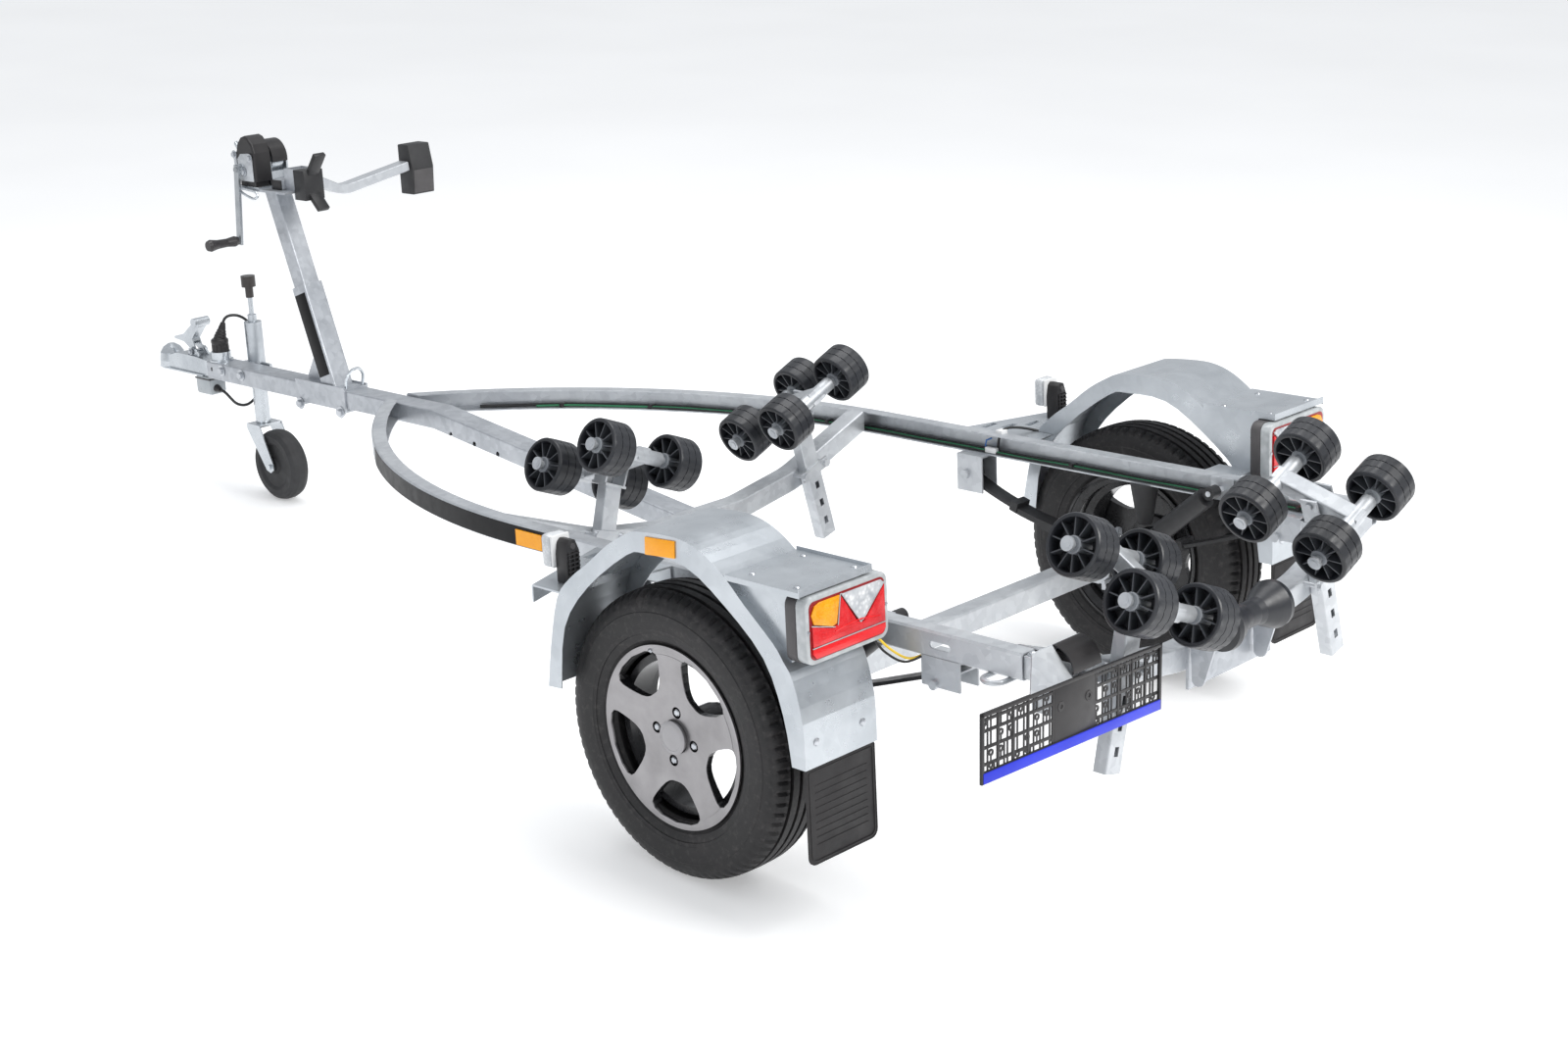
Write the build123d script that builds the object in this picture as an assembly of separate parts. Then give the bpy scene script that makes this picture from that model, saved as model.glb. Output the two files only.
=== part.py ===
from build123d import *
import os
from math import sin, cos, tan, radians, degrees, atan2, asin, acos, sqrt, hypot

# Personal watercraft trailer. Everything is drawn in the trailer's own level
# frame: X forward along the drawbar, Y to the left, Z up, origin on the wheel
# axis. The parked stance (nose down onto the jockey wheel) is one rotation
# about the wheel axis, applied to every piece at the end.
# All dimensions in millimetres.

# ---------------------------------------------------------------- dimensions
TYRE_R = 286.0            # 13 inch wheel with a 155 wide tyre
TYRE_W = 145.0
WHEEL_Y = 714.5           # middle plane of the wheel, left and right
RIM_FACE_Y = 778.0
RIM_FLANGE_R = 181.5
BEAD_R = 166.0
BOLT_PCD = 100.0
WINDOWS = 5

SHIFT_X = -1032.06         # level frame to part frame, sets the middle of the length

RAIL_OUT = 575.0          # outer face of the side rails
RAIL_TOP = 254.0
RAIL_H = 50.0
RAIL_FLANGE = 35.0
RAIL_T = 3.0
RAIL_REAR_X = -680.0
RAIL_BEND_X = 640.0       # straight up to here, then one arc to the drawbar
RAIL_BEND_R = 1550.0      # of the outer face

BAR_W = 66.0              # drawbar tube, Y
BAR_H = 48.0              # drawbar tube, Z
BAR_T = 3.0
BAR_TOP = 247.5
BAR_FRONT_X = 2632.0
BAR_BEND_X = 1632.0
BAR_REAR = (745.0, 99.5)  # X, Z of the tube's centre at the front cross member

CROSS_W = 50.0            # cross members, X
CROSS_H = 46.0
CROSS_T = 3.0
FRONT_CROSS_X = 720.0
REAR_CROSS_X = -665.0
CROSS_LINE = [(0.0, 112.0), (120.0, 112.0), (300.0, 141.0), (545.0, 233.0)]

AXLE_S = 50.0             # square axle beam
AXLE_HALF = 585.0
SPRING_Y = 545.0
SPRING_W = 40.0
LEAF_T = 7.0

JOCKEY_X, JOCKEY_Y = 2538.0, -68.0
JOCKEY_R, JOCKEY_W = 98.0, 58.0
JOCKEY_C = (2471.0, -45.0)          # X, Z of its axle at rest

CRADLE_HALF_BASE = 81.5   # pivot to roller axle, along the walking beam
CRADLE_HALF_TRACK = 101.0 # pivot to the middle of a roller, along the axle
CRADLE_TILT = 22.2        # axles rise outwards by this angle
ROLLER_D, ROLLER_W = 120.0, 75.0
POST_TILT = 15.0
POST_W, POST_T, POST_LEN = 45.0, 30.0, 350.0

# cradles: name, side (+1 left), pivot X, |Y|, Z, pitch of the walking beam in radians
CRADLES = [
    ("fl", +1, 677.0, 282.0, 312.0, -0.407),
    ("fr", -1, 677.0, 282.0, 332.0, -0.366),
    ("rl", +1, -722.0, 282.0, 314.0, 0.474),
    ("rr", -1, -722.0, 282.0, 335.0, 0.400),
]

KEEL_ROLLER = (-752.0, 181.0)       # X, Z of its axle
KEEL_LEN = 188.0

DRUM = (2300.0, 828.0)              # X, Z of the winch drum's axis
CRANK = (2318.0, 806.0)
CRANK_END = (2340.0, 618.0)

LEVER_PIVOT = (2722.0, 262.0)       # X, Z of the coupling lever's pin

SLEEVE_LEAN = 19.9                  # winch post leans forward by this angle
SLEEVE_X = 2069.0                   # its axis at the top of the drawbar

# stance angle: jockey wheel and tyres stand on one floor
PARK = atan2(JOCKEY_C[1], JOCKEY_C[0]) + asin((TYRE_R - JOCKEY_R) / hypot(*JOCKEY_C))
PARK_DEG = degrees(PARK)

os.makedirs("parts", exist_ok=True)
STANCE = Pos(SHIFT_X, 0, TYRE_R) * Rot(0, PARK_DEG, 0)
made = []


# ------------------------------------------------------------------- helpers
def put(name, *solids):
    flat = []
    for s in solids:
        flat.extend(s.solids())
    placed = [STANCE * s for s in flat]
    body = placed[0] if len(placed) == 1 else Compound(children=placed)
    body.label = name
    export_step(body, "parts/" + name + ".step")
    made.append((name, flat))


def poly(points, z, kind):
    """A closed flat face: kind says which two axes the points give."""
    if kind == "xz":
        pts = [(a, z, b) for a, b in points]
    elif kind == "yz":
        pts = [(z, a, b) for a, b in points]
    else:
        pts = [(a, b, z) for a, b in points]
    return make_face(Polyline(*pts, close=True))


def prism_xz(points, y0, y1):
    return extrude(poly(points, min(y0, y1), "xz"), amount=abs(y1 - y0), dir=(0, 1, 0))


def prism_yz(points, x0, x1):
    return extrude(poly(points, min(x0, x1), "yz"), amount=abs(x1 - x0), dir=(1, 0, 0))


def prism_xy(points, z0, z1):
    return extrude(poly(points, min(z0, z1), "xy"), amount=abs(z1 - z0), dir=(0, 0, 1))


def block(x0, x1, y0, y1, z0, z1):
    return Pos((x0 + x1) / 2, (y0 + y1) / 2, (z0 + z1) / 2) * Box(abs(x1 - x0), abs(y1 - y0), abs(z1 - z0))


def cyl(p, q, r):
    p, q = Vector(*p), Vector(*q)
    return Solid.make_cylinder(r, (q - p).length, Plane(origin=p, z_dir=(q - p)))


def cone(p, q, r0, r1):
    p, q = Vector(*p), Vector(*q)
    return Solid.make_cone(r0, r1, (q - p).length, Plane(origin=p, z_dir=(q - p)))


def ring(p, q, r_out, r_in):
    p, q = Vector(*p), Vector(*q)
    e = (q - p).normalized() * 1.0
    return cyl(p, q, r_out) - cyl(p - e, q + e, r_in)


def square_plane(origin, z, x):
    z = Vector(*z).normalized()
    x = Vector(*x)
    x = (x - z * x.dot(z)).normalized()
    return Plane(origin=Vector(*origin), x_dir=x, z_dir=z)


def hollow(w, h, t, r=5.0):
    return RectangleRounded(w, h, r) - RectangleRounded(w - 2 * t, h - 2 * t, max(r - t, 0.6))


def bar(p, q, section, x_dir):
    p, q = Vector(*p), Vector(*q)
    return extrude(square_plane(p, (q - p), x_dir) * section, amount=(q - p).length)


def swept(points, radii, section, x_dir):
    """A section along straight runs joined by tangent arcs."""
    path = FilletPolyline(*points, radius=radii)
    return sweep(square_plane(path @ 0, path % 0, x_dir) * section, path=path)


def lathe_y(profile, y_sign=1.0):
    """A turned piece about the wheel axis from (y, r) points."""
    pts = [(0, y_sign * y, r) for y, r in profile]
    return revolve(make_face(Polyline(*pts, close=True)), axis=Axis.Y)


def lathe_at(profile, origin, direction):
    """A turned piece from (along, radius) points about any axis."""
    pl = square_plane(origin, direction, (1, 0, 0.013) if abs(Vector(*direction).normalized().X) < 0.9 else (0, 1, 0))
    face = make_face(Polyline(*[(r, 0, a) for a, r in profile], close=True))
    turned = revolve(face, axis=Axis.Z)
    return pl.location * turned


def one(shape):
    s = shape.solids()
    return s[0] if len(s) == 1 else shape


def mirror_y(shape):
    return mirror(shape, about=Plane.XZ)


# ------------------------------------------------------------------- drawbar
def bar_line(offset):
    """Points (X, Z) of the drawbar's centre line moved up by offset."""
    slope = atan2(BAR_TOP - BAR_H / 2 - BAR_REAR[1], BAR_BEND_X - BAR_REAR[0])
    z_flat = BAR_TOP - BAR_H / 2 + offset
    bend_x = BAR_BEND_X - offset * tan(slope / 2)
    rear_z = BAR_REAR[1] + offset / cos(slope)
    return [(BAR_REAR[0], rear_z), (bend_x, z_flat), (BAR_FRONT_X, z_flat)]


up_o, dn_o = bar_line(BAR_H / 2), bar_line(-BAR_H / 2)
up_i, dn_i = bar_line(BAR_H / 2 - BAR_T), bar_line(-BAR_H / 2 + BAR_T)
drawbar = prism_xz(up_o + dn_o[::-1], -BAR_W / 2, BAR_W / 2)
drawbar = fillet(drawbar.edges().filter_by(lambda e: abs(abs(e.center().Y) - BAR_W / 2) < 0.01
                                           and e.length > 100), 4.0)
drawbar -= prism_xz([(x - (5 if i == 0 else 0) + (5 if i == 2 else 0), z) for i, (x, z) in enumerate(up_i)]
                    + [(x - (5 if i == 0 else 0) + (5 if i == 2 else 0), z) for i, (x, z) in enumerate(dn_i)][::-1],
                    -BAR_W / 2 + BAR_T, BAR_W / 2 - BAR_T)
# cross holes in the sides: X, Z, radius
BAR_HOLES = [(1563.0, 195.0, 6.5), (1472.0, 184.0, 6.5), (1384.0, 172.0, 6.5), (2610.0, 230.0, 4.0)]
for hx, hz, hr in BAR_HOLES:
    drawbar -= cyl((hx, -40, hz), (hx, 40, hz), hr)
# rubber-lined plate on the right side where the leads come out
drawbar += block(2578, 2604, -37.5, -33.0, 203, 235)
put("drawbar", one(drawbar))


# --------------------------------------------------------------- side rails
def rail_face():
    o, b, t = RAIL_OUT, RAIL_OUT - RAIL_FLANGE, RAIL_T
    z1, z0 = RAIL_TOP, RAIL_TOP - RAIL_H
    pts = [(b, z0), (o - 4, z0), (o, z0 + 4), (o, z1 - 4), (o - 4, z1), (b, z1), (b, z1 - t),
           (o - 5, z1 - t), (o - t, z1 - 5), (o - t, z0 + 5), (o - 5, z0 + t), (b, z0 + t)]
    return poly(pts, RAIL_BEND_X, "yz")


def make_rail():
    face = rail_face()
    straight = extrude(face, amount=RAIL_BEND_X - RAIL_REAR_X, dir=(-1, 0, 0))
    centre_y = RAIL_OUT - RAIL_BEND_R
    curved = revolve(face, axis=Axis((RAIL_BEND_X, centre_y, 0), (0, 0, -1)), revolution_arc=53.0)
    curved -= block(1600, 2200, -600, BAR_W / 2, 150, 300)
    rail = straight + curved
    # lashing slot through the web
    slot = block(-512, -477, 560, 590, 221, 235) + cyl((-512, 560, 228), (-512, 590, 228), 7) \
        + cyl((-477, 560, 228), (-477, 590, 228), 7)
    rail -= slot
    # plate that closes the channel where the shock absorber is pinned
    rail += block(-357, -303, 536, 540, RAIL_TOP - RAIL_H, RAIL_TOP)
    rail += cyl((-330, 484, 230), (-330, 536.5, 230), 6.0)
    return rail


# lashing ring under the rail
ring_l = cyl((-604, 545, 199), (-604, 582, 199), 5) + cyl((-648, 545, 199), (-648, 582, 199), 5)
half_torus = Pos(-626, 582, 199) * Torus(22, 5)
half_torus -= block(-700, -550, 500, 582, 180, 220)
ring_l = Pos(0, 0, 0.4) * (ring_l + half_torus)


# ------------------------------------------------------------ cross members
def cross_member(x):
    pts = [(x, -y, z) for y, z in CROSS_LINE[:0:-1]] + [(x, y, z) for y, z in CROSS_LINE[1:]]
    n = len(pts) - 2
    return swept(pts, [250.0] * n, hollow(CROSS_H, CROSS_W, CROSS_T, 4.0), (0, 0, 1))


rear_cross = cross_member(REAR_CROSS_X) & block(-700, -600, -540, 540, 0, 400)
put("rear_cross_member", rear_cross)

front_cross = cross_member(FRONT_CROSS_X)
inner_r = RAIL_BEND_R - RAIL_FLANGE
for s in (+1, -1):
    front_cross = front_cross & (Pos(RAIL_BEND_X, s * (RAIL_OUT - RAIL_BEND_R), 150)
                                 * Cylinder(inner_r, 500))
put("front_cross_member", front_cross)

# keel roller bracket on the rear cross member
rx = REAR_CROSS_X - CROSS_W / 2
ear_pts = [(rx - 4, 142), (rx - 9, 134), (rx - 12, 69), (rx - 17, 63), (rx - 25, 61), (rx - 34, 64), (rx - 39, 71),
           (rx - 64, 147), (rx - 80, 168), (rx - 83, 181), (rx - 78, 196), (rx - 62, 204), (rx - 48, 199), (rx - 4, 150)]
bracket = block(rx - 6, rx, -165, 107, 52, 152)
for y0 in (99.5, -104.5):
    bracket += prism_xz(ear_pts, y0, y0 + 5.0)
bracket += cyl((KEEL_ROLLER[0], -116, KEEL_ROLLER[1]), (KEEL_ROLLER[0], 116, KEEL_ROLLER[1]), 8.0)
for y0, y1 in ((104.5, 114), (-114, -104.5)):
    bracket += cyl((KEEL_ROLLER[0], y0, KEEL_ROLLER[1]), (KEEL_ROLLER[0], y1, KEEL_ROLLER[1]), 14.0)
put("keel_bracket", bracket)

KEEL_PROFILE = [(-94, 36), (-90, 46), (-78, 47.5), (-60, 41), (-30, 28), (-14, 25), (14, 25), (30, 28),
                (60, 41), (78, 47.5), (90, 46), (94, 36), (94, 8.3), (-94, 8.3)]
keel = lathe_at([(a, r) for a, r in KEEL_PROFILE], (KEEL_ROLLER[0], 0, KEEL_ROLLER[1]), (0, 1, 0))
put("keel_roller", keel)

# --------------------------------------------------------- axle and springs
beam = bar((0, -AXLE_HALF, 0), (0, AXLE_HALF, 0), hollow(AXLE_S, AXLE_S, 4.0, 5.0), (1, 0, 0))
for s in (+1, -1):
    beam += bar((0, s * (AXLE_HALF - 12), 0), (0, s * AXLE_HALF, 0), RectangleRounded(AXLE_S - 7.9, AXLE_S - 7.9, 1.2), (1, 0, 0))
    beam += cyl((0, s * (AXLE_HALF - 1), 0), (0, s * 646, 0), 24.0)
    beam += cyl((0, s * 645, 0), (0, s * 742, 0), 15.0)
    # lug and pin for the lower end of the shock absorber
    beam += prism_xz([(-20, -20), (-20, 24), (-48, 24), (-74, 14), (-74, 0), (-48, -20)], s * 477, s * 482)
    beam += cyl((-60, s * 481, 6), (-60, s * 516, 6), 6.0)
put("axle_beam", beam)

# main leaf: circle through three points, then a straight tail that slides in the rear hanger
LEAF_FRONT, LEAF_MID, LEAF_REAR = (331.0, 135.0), (0.0, 60.0), (-300.0, 107.0)


def circle3(a, b, c):
    (ax, ay), (bx, by), (cx, cy) = a, b, c
    d = 2 * (ax * (by - cy) + bx * (cy - ay) + cx * (ay - by))
    ux = ((ax**2 + ay**2) * (by - cy) + (bx**2 + by**2) * (cy - ay) + (cx**2 + cy**2) * (ay - by)) / d
    uy = ((ax**2 + ay**2) * (cx - bx) + (bx**2 + by**2) * (ax - cx) + (cx**2 + cy**2) * (bx - ax)) / d
    return ux, uy, hypot(ax - ux, ay - uy)


lcx, lcz, lr = circle3(LEAF_FRONT, LEAF_MID, LEAF_REAR)


def leaf_arc(r0, r1, x0, x1, steps=9):
    """Part of a ring between radii r0 and r1, from X=x0 to X=x1, as an exact arc band."""
    def at(r, x):
        a = asin((x - lcx) / lr)
        return (lcx + r * sin(a), 0.0, lcz - r * cos(a))
    xm = (x0 + x1) / 2
    edges = [ThreePointArc(at(r0, x0), at(r0, xm), at(r0, x1)), Line(at(r0, x1), at(r1, x1)),
             ThreePointArc(at(r1, x1), at(r1, xm), at(r1, x0)), Line(at(r1, x0), at(r0, x0))]
    return make_face(Curve() + edges)


def leaf_spring():
    half = LEAF_T / 2
    w = SPRING_W
    solid = extrude(leaf_arc(lr - half, lr + half, -300.0, 352.0), amount=w / 2, dir=(0, 1, 0), both=True)
    a = asin((-300.0 - lcx) / lr)
    p = (lcx + lr * sin(a), lcz - lr * cos(a))
    t = (-cos(a), -sin(a))
    n = (-sin(a), cos(a))
    tail = [(p[0] + n[0] * half - t[0], p[1] + n[1] * half - t[1]), (p[0] - n[0] * half - t[0], p[1] - n[1] * half - t[1])]
    tail += [(q[0] + t[0] * 218, q[1] + t[1] * 218) for q in tail[::-1]]
    solid += prism_xz(tail, -w / 2, w / 2)
    # shorter leaves below: half length
    for k, reach in enumerate((236.0, 150.0)):
        r0 = lr + half + k * LEAF_T
        solid += extrude(leaf_arc(r0, r0 + LEAF_T, -reach, reach), amount=w / 2, dir=(0, 1, 0), both=True)
    # front eye and the two leaf clips
    solid += cyl((362, -w / 2, 157), (362, w / 2, 157), 17.0)
    solid -= cyl((362, -w, 157), (362, w, 157), 6.4)
    for x in (228.0, -228.0):
        a = asin((x - lcx) / lr)
        c = (lcx + lr * sin(a), 0, lcz - lr * cos(a))
        clip = square_plane(c, (cos(a), 0, sin(a)), (0, 1, 0)) * Pos(0, 3.0) * Rectangle(w + 6, 2 * LEAF_T + 8)
        band = extrude(clip, amount=10, both=True)
        solid += band
    return solid


spring = leaf_spring()
put("leaf_springs", Pos(0, SPRING_Y, 0) * spring, Pos(0, -SPRING_Y, 0) * spring)


def spring_clamp():
    y0, y1 = SPRING_Y - 33, SPRING_Y + 33
    z_top = LEAF_MID[1] + LEAF_T / 2 + 2.0
    z_pad = LEAF_MID[1] - LEAF_T / 2 - 2 * LEAF_T - 0.6
    c = block(-38, 38, y0, y1, z_top, z_top + 7)
    c += block(-38, 38, y0, y1, -AXLE_S / 2 - 8, -AXLE_S / 2)
    c += block(-24, 24, SPRING_Y - 20, SPRING_Y + 20, AXLE_S / 2, z_pad)
    for x in (-31, 31):
        for y in (SPRING_Y - 27, SPRING_Y + 27):
            c += cyl((x, y, -AXLE_S / 2 - 22), (x, y, z_top + 18), 5.0)
            c += cyl((x, y, z_top + 7), (x, y, z_top + 15), 9.0)
    return c


clamp = spring_clamp()
put("spring_clamps", clamp, mirror_y(clamp))


def hangers():
    z1 = RAIL_TOP - RAIL_H
    yi, yo = SPRING_Y - 27, SPRING_Y + 27
    front = block(314, 388, yi, yi + 4, 117, z1) + block(314, 388, yo - 4, yo, 117, z1)
    front += block(314, 388, yi, yo, z1 - 4, z1) + block(384, 388, yi, yo, 128, z1)
    front += cyl((362, yi - 8, 157), (362, yo + 8, 157), 6.0)
    front += cyl((362, yi - 8, 157), (362, yi, 157), 10.5) + cyl((362, yo, 157), (362, yo + 8, 157), 10.5)
    rear = block(-536, -447, yi, yi + 4, 148, z1) + block(-536, -447, yo - 4, yo, 148, z1)
    rear += block(-536, -447, yi, yo, z1 - 4, z1) + block(-536, -447, yi, yo, 183, 187)
    rear += cyl((-478, yi - 8, 153), (-478, yo + 8, 153), 5.0)
    rear += cyl((-478, yi - 8, 153), (-478, yi, 153), 9.0) + cyl((-478, yo, 153), (-478, yo + 8, 153), 9.0)
    return front, rear


front_h, rear_h = hangers()
rail_left = one(make_rail() + ring_l + front_h + rear_h)
put("rail_left", rail_left)
put("rail_right", mirror_y(rail_left))

# rubber bump stops under the rails, above the springs
stop = cone((-115, 557, RAIL_TOP - RAIL_H), (-115, 557, 112), 32, 17)
put("bump_stops", stop, mirror_y(stop))

# shock absorbers from the axle lug up to the rail
lo, hi = Vector(-60, 500, 6), Vector(-330, 500, 230)
u = (hi - lo).normalized()
shock = cyl((lo.X, 486, lo.Z), (lo.X, 514, lo.Z), 14) + cyl((hi.X, 486, hi.Z), (hi.X, 514, hi.Z), 14)
shock += cyl(lo + u * 10, lo + u * 175, 18) + cyl(lo + u * 160, hi - u * 8, 8) + cyl(lo + u * 182, hi - u * 22, 22)
shock -= cyl((lo.X, 480, lo.Z), (lo.X, 520, lo.Z), 6.3) + cyl((hi.X, 480, hi.Z), (hi.X, 520, hi.Z), 6.3)
put("shock_absorbers", shock, mirror_y(shock))

# ------------------------------------------------------------------- wheels
RIM_PROFILE = [(651, 181.5), (656, 181.5), (660, 168), (664, 165.5), (690, 165), (699, 152), (744, 152),
               (753, 165), (767, 165.5), (770, 169), (773, 181.5), (778, 181.5), (778, 175), (775.5, 163),
               (760, 158), (750, 146), (696, 146), (686, 159.5), (664, 160), (657, 170), (655, 176), (651, 176)]
DISC = [(756, 33), (756, 150), (762, 163), (776, 163), (774, 140), (771, 110), (769, 80), (768.5, 33)]
# half outline of a window between two spokes: angle from its middle, radius
WINDOW = [(0, 90), (7, 91), (12.5, 96), (17, 105), (20.5, 119), (23, 136), (24.3, 152), (23.8, 162), (20.5, 168.5),
          (14, 171), (0, 171.6)]


def make_rim():
    rim = lathe_y(RIM_PROFILE) + lathe_y(DISC)
    for k in range(WINDOWS):
        a = 55.0 + k * 360.0 / WINDOWS
        pts = [(r * cos(radians(w)), r * sin(radians(w))) for w, r in WINDOW]
        pts += [(x, -z) for x, z in pts[-2:0:-1]]
        cut = prism_xz(pts, 750, 790)
        rim -= Rot(0, -a, 0) * cut
    for k in range(4):
        a = radians(9 + 90 * k)
        bx, bz = BOLT_PCD / 2 * cos(a), BOLT_PCD / 2 * sin(a)
        rim -= cyl((bx, 760, bz), (bx, 790, bz), 11.5)
        rim += cyl((bx, 758, bz), (bx, 767, bz), 7.0)
    return rim


rim_l = make_rim()

TYRE_OUT = [(47, 166.3), (53.5, 168.5), (56, 181), (62, 195), (69.5, 216), (72.5, 236), (70, 256), (63, 272),
            (52, 281), (30, 285.3), (0, 286)]
TYRE_IN = [(0, 276), (38, 273.5), (52, 268), (60, 256), (64, 237), (62, 220), (55, 201), (46, 186)]


def make_tyre():
    half = [(u_, r) for u_, r in TYRE_OUT]
    inner = [(u_, r) for u_, r in TYRE_IN]
    prof = [(WHEEL_Y + u_, r) for u_, r in half] + [(WHEEL_Y - u_, r) for u_, r in half[::-1][1:]]
    prof += [(WHEEL_Y - u_, r) for u_, r in inner[::-1]] + [(WHEEL_Y + u_, r) for u_, r in inner[1:]]
    return lathe_y(prof)


tyre_l = make_tyre()
HUB_PROFILE = [(652, 15.4), (652, 34), (668, 38), (742, 38), (746, 62), (756, 62), (756, 32.5), (776, 31.5),
               (779, 28), (779, 0), (745, 0), (745, 15.4)]
rim_l = one(rim_l + lathe_y(HUB_PROFILE))
put("tyre_left", tyre_l)
put("rim_left", rim_l)
put("tyre_right", mirror_y(tyre_l))
put("rim_right", mirror_y(rim_l))

# --------------------------------------------------------------- mudguards
# side view of the arch: outer edge, and inner edge of the side flanges (X, Z)
ARCH_OUT = [(293, 52), (277, 136), (248, 240), (207, 287), (154, 326), (94, 373), (38, 405), (11, 414), (-68, 420),
            (-118, 417), (-167, 400), (-216, 367), (-259, 327), (-327, 269), (-349, 241), (-371, 209), (-390, 132),
            (-392, 46)]
ARCH_IN = [(254, 55), (232, 184), (159, 277), (42, 363), (-12, 375), (-114, 370), (-210, 315), (-301, 236),
           (-343, 139), (-359, 46)]
GUARD_IN, GUARD_OUT, SHEET = 636.0, 823.0, 2.0


def smoothed(points, steps=3):
    """The polygon's corners rounded off by a curve through its points; the two ends stay as they are."""
    out = []
    for i in range(len(points) - 1):
        p0, p1, p2, p3 = points[max(i - 1, 0)], points[i], points[i + 1], points[min(i + 2, len(points) - 1)]
        for k in range(steps):
            t = k / steps
            out.append(tuple(0.5 * (2 * p1[j] + (p2[j] - p0[j]) * t + (2 * p0[j] - 5 * p1[j] + 4 * p2[j] - p3[j]) * t * t
                                    + (3 * p1[j] - p0[j] - 3 * p2[j] + p3[j]) * t ** 3) for j in range(2)))
    return out + [points[-1]]


ARCH_OUT = smoothed(ARCH_OUT)
ARCH_IN = smoothed(ARCH_IN)


def shrink(points, d):
    out = []
    for x, z in points:
        r = hypot(x, z)
        out.append((x * (1 - d / r), z * (1 - d / r) if z > 60 else z))
    return out


def make_mudguard():
    inset = shrink(ARCH_OUT, SHEET + 0.3)
    guard = prism_xz(ARCH_OUT + inset[::-1], GUARD_IN, GUARD_OUT)
    guard += prism_xz(ARCH_OUT + ARCH_IN[::-1], GUARD_OUT - SHEET, GUARD_OUT)
    guard += prism_xz(ARCH_OUT + ARCH_IN[::-1], GUARD_IN, GUARD_IN + SHEET)
    # step plate behind the arch with turned lips, side panel and lamp plate below it
    guard += block(-395, -213, GUARD_IN, GUARD_OUT, 372, 374)
    guard += block(-395, -213, GUARD_OUT - SHEET, GUARD_OUT, 364, 374)
    guard += block(-395, -393, GUARD_IN, GUARD_OUT, 366, 380)
    guard += block(-395, -213, GUARD_IN, GUARD_IN + SHEET, 366, 380)
    side = [(-213, 373), (-216, 366), (-259, 326), (-327, 268), (-349, 240), (-354, 236), (-354, 373)]
    guard += prism_xz(side, 804, 806)
    guard += prism_xz(side, GUARD_IN, GUARD_IN + SHEET)
    guard += block(-354, -352, GUARD_IN, 806, 234, 373)
    return guard


guard_l = make_mudguard()
put("mudguard_left", guard_l)
put("mudguard_right", mirror_y(guard_l))

# supports from the rails out to the mudguards: a wide front plate, a narrow rear one
front_plate = prism_xy([(410, RAIL_OUT), (328, 815), (244, 815), (244, 634.5), (200, 634.5), (192, RAIL_OUT)], 246, 250)
front_plate += bar((408, RAIL_OUT, 231), (329, 815, 231), Rectangle(3, 34), (1, 0.3, 0))
front_plate += block(192, 408, RAIL_OUT, RAIL_OUT + 4, 212, 250)
# lightening slots: X, Y
for sx, sy in ((262, 740), (330, 640), (300, 690), (372, 618)):
    front_plate -= prism_xy([(sx - 8, sy - 22), (sx + 8, sy - 22), (sx + 8, sy + 22), (sx - 8, sy + 22)], 240, 256)
guard_solid = prism_xz(ARCH_OUT + [(-392, -50), (293, -50)], GUARD_IN - 0.01, GUARD_OUT + 5)
front_plate -= guard_solid
front_plate -= block(100, 500, 500, RAIL_OUT, 150, 300)
rear_plate = block(-345, -255, RAIL_OUT, GUARD_IN, 246, 250) + block(-345, -255, RAIL_OUT, RAIL_OUT + 4, 212, 250)
rear_plate += block(-345, -255, GUARD_IN - 4, GUARD_IN, 216, 250)
supports = []
for shape in (one(front_plate), one(rear_plate)):
    supports += [shape, mirror_y(shape)]
put("mudguard_supports", *supports)

# rubber flaps behind the wheels
flap = prism_xz([(-389.6, 46), (-388.6, 97), (-384.6, 97), (-385.6, 46), (-385.6, -139), (-389.6, -139)], 640.5, 820.5)
flap = fillet(flap.edges().filter_by(Axis.X).sort_by(Axis.Z)[:2], 16.0)
put("mudflaps", flap, mirror_y(flap))

# tail lamps
lamp = block(-408, -354.2, 605, 818, 238, 363.5)
lamp = fillet(lamp.edges().filter_by(Axis.X), 8.0)
lamp = chamfer(lamp.faces().sort_by(Axis.X)[0].edges(), 4.0)
put("tail_lamps", lamp, mirror_y(lamp))

# front position lamps on their ribbed brackets
pos_b = block(262, 300, 742, 776, 250.2, 336)
pos_l = fillet(block(300, 333, 734, 784, 276, 343).edges().filter_by(Axis.X), 9.0)
pos_lamp = pos_b + pos_l
put("position_lamps", pos_lamp, mirror_y(pos_lamp))

# --------------------------------------------------- number plate and its lamp
PLATE_X, PLATE_Y, PLATE_Z, PLATE_ROLL = -744.0, 515.0, 146.0, 2.1
plate = Box(4, 506, 126)
plate = fillet(plate.edges().filter_by(Axis.X), 8.0)
plate = plate + Pos(-3, 0, -60.5) * Box(4, 498, 5) + Pos(-3, 0, 60.5) * Box(4, 498, 5)
plate = Pos(PLATE_X, PLATE_Y, PLATE_Z) * Rot(PLATE_ROLL, 0, 0) * plate
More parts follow.
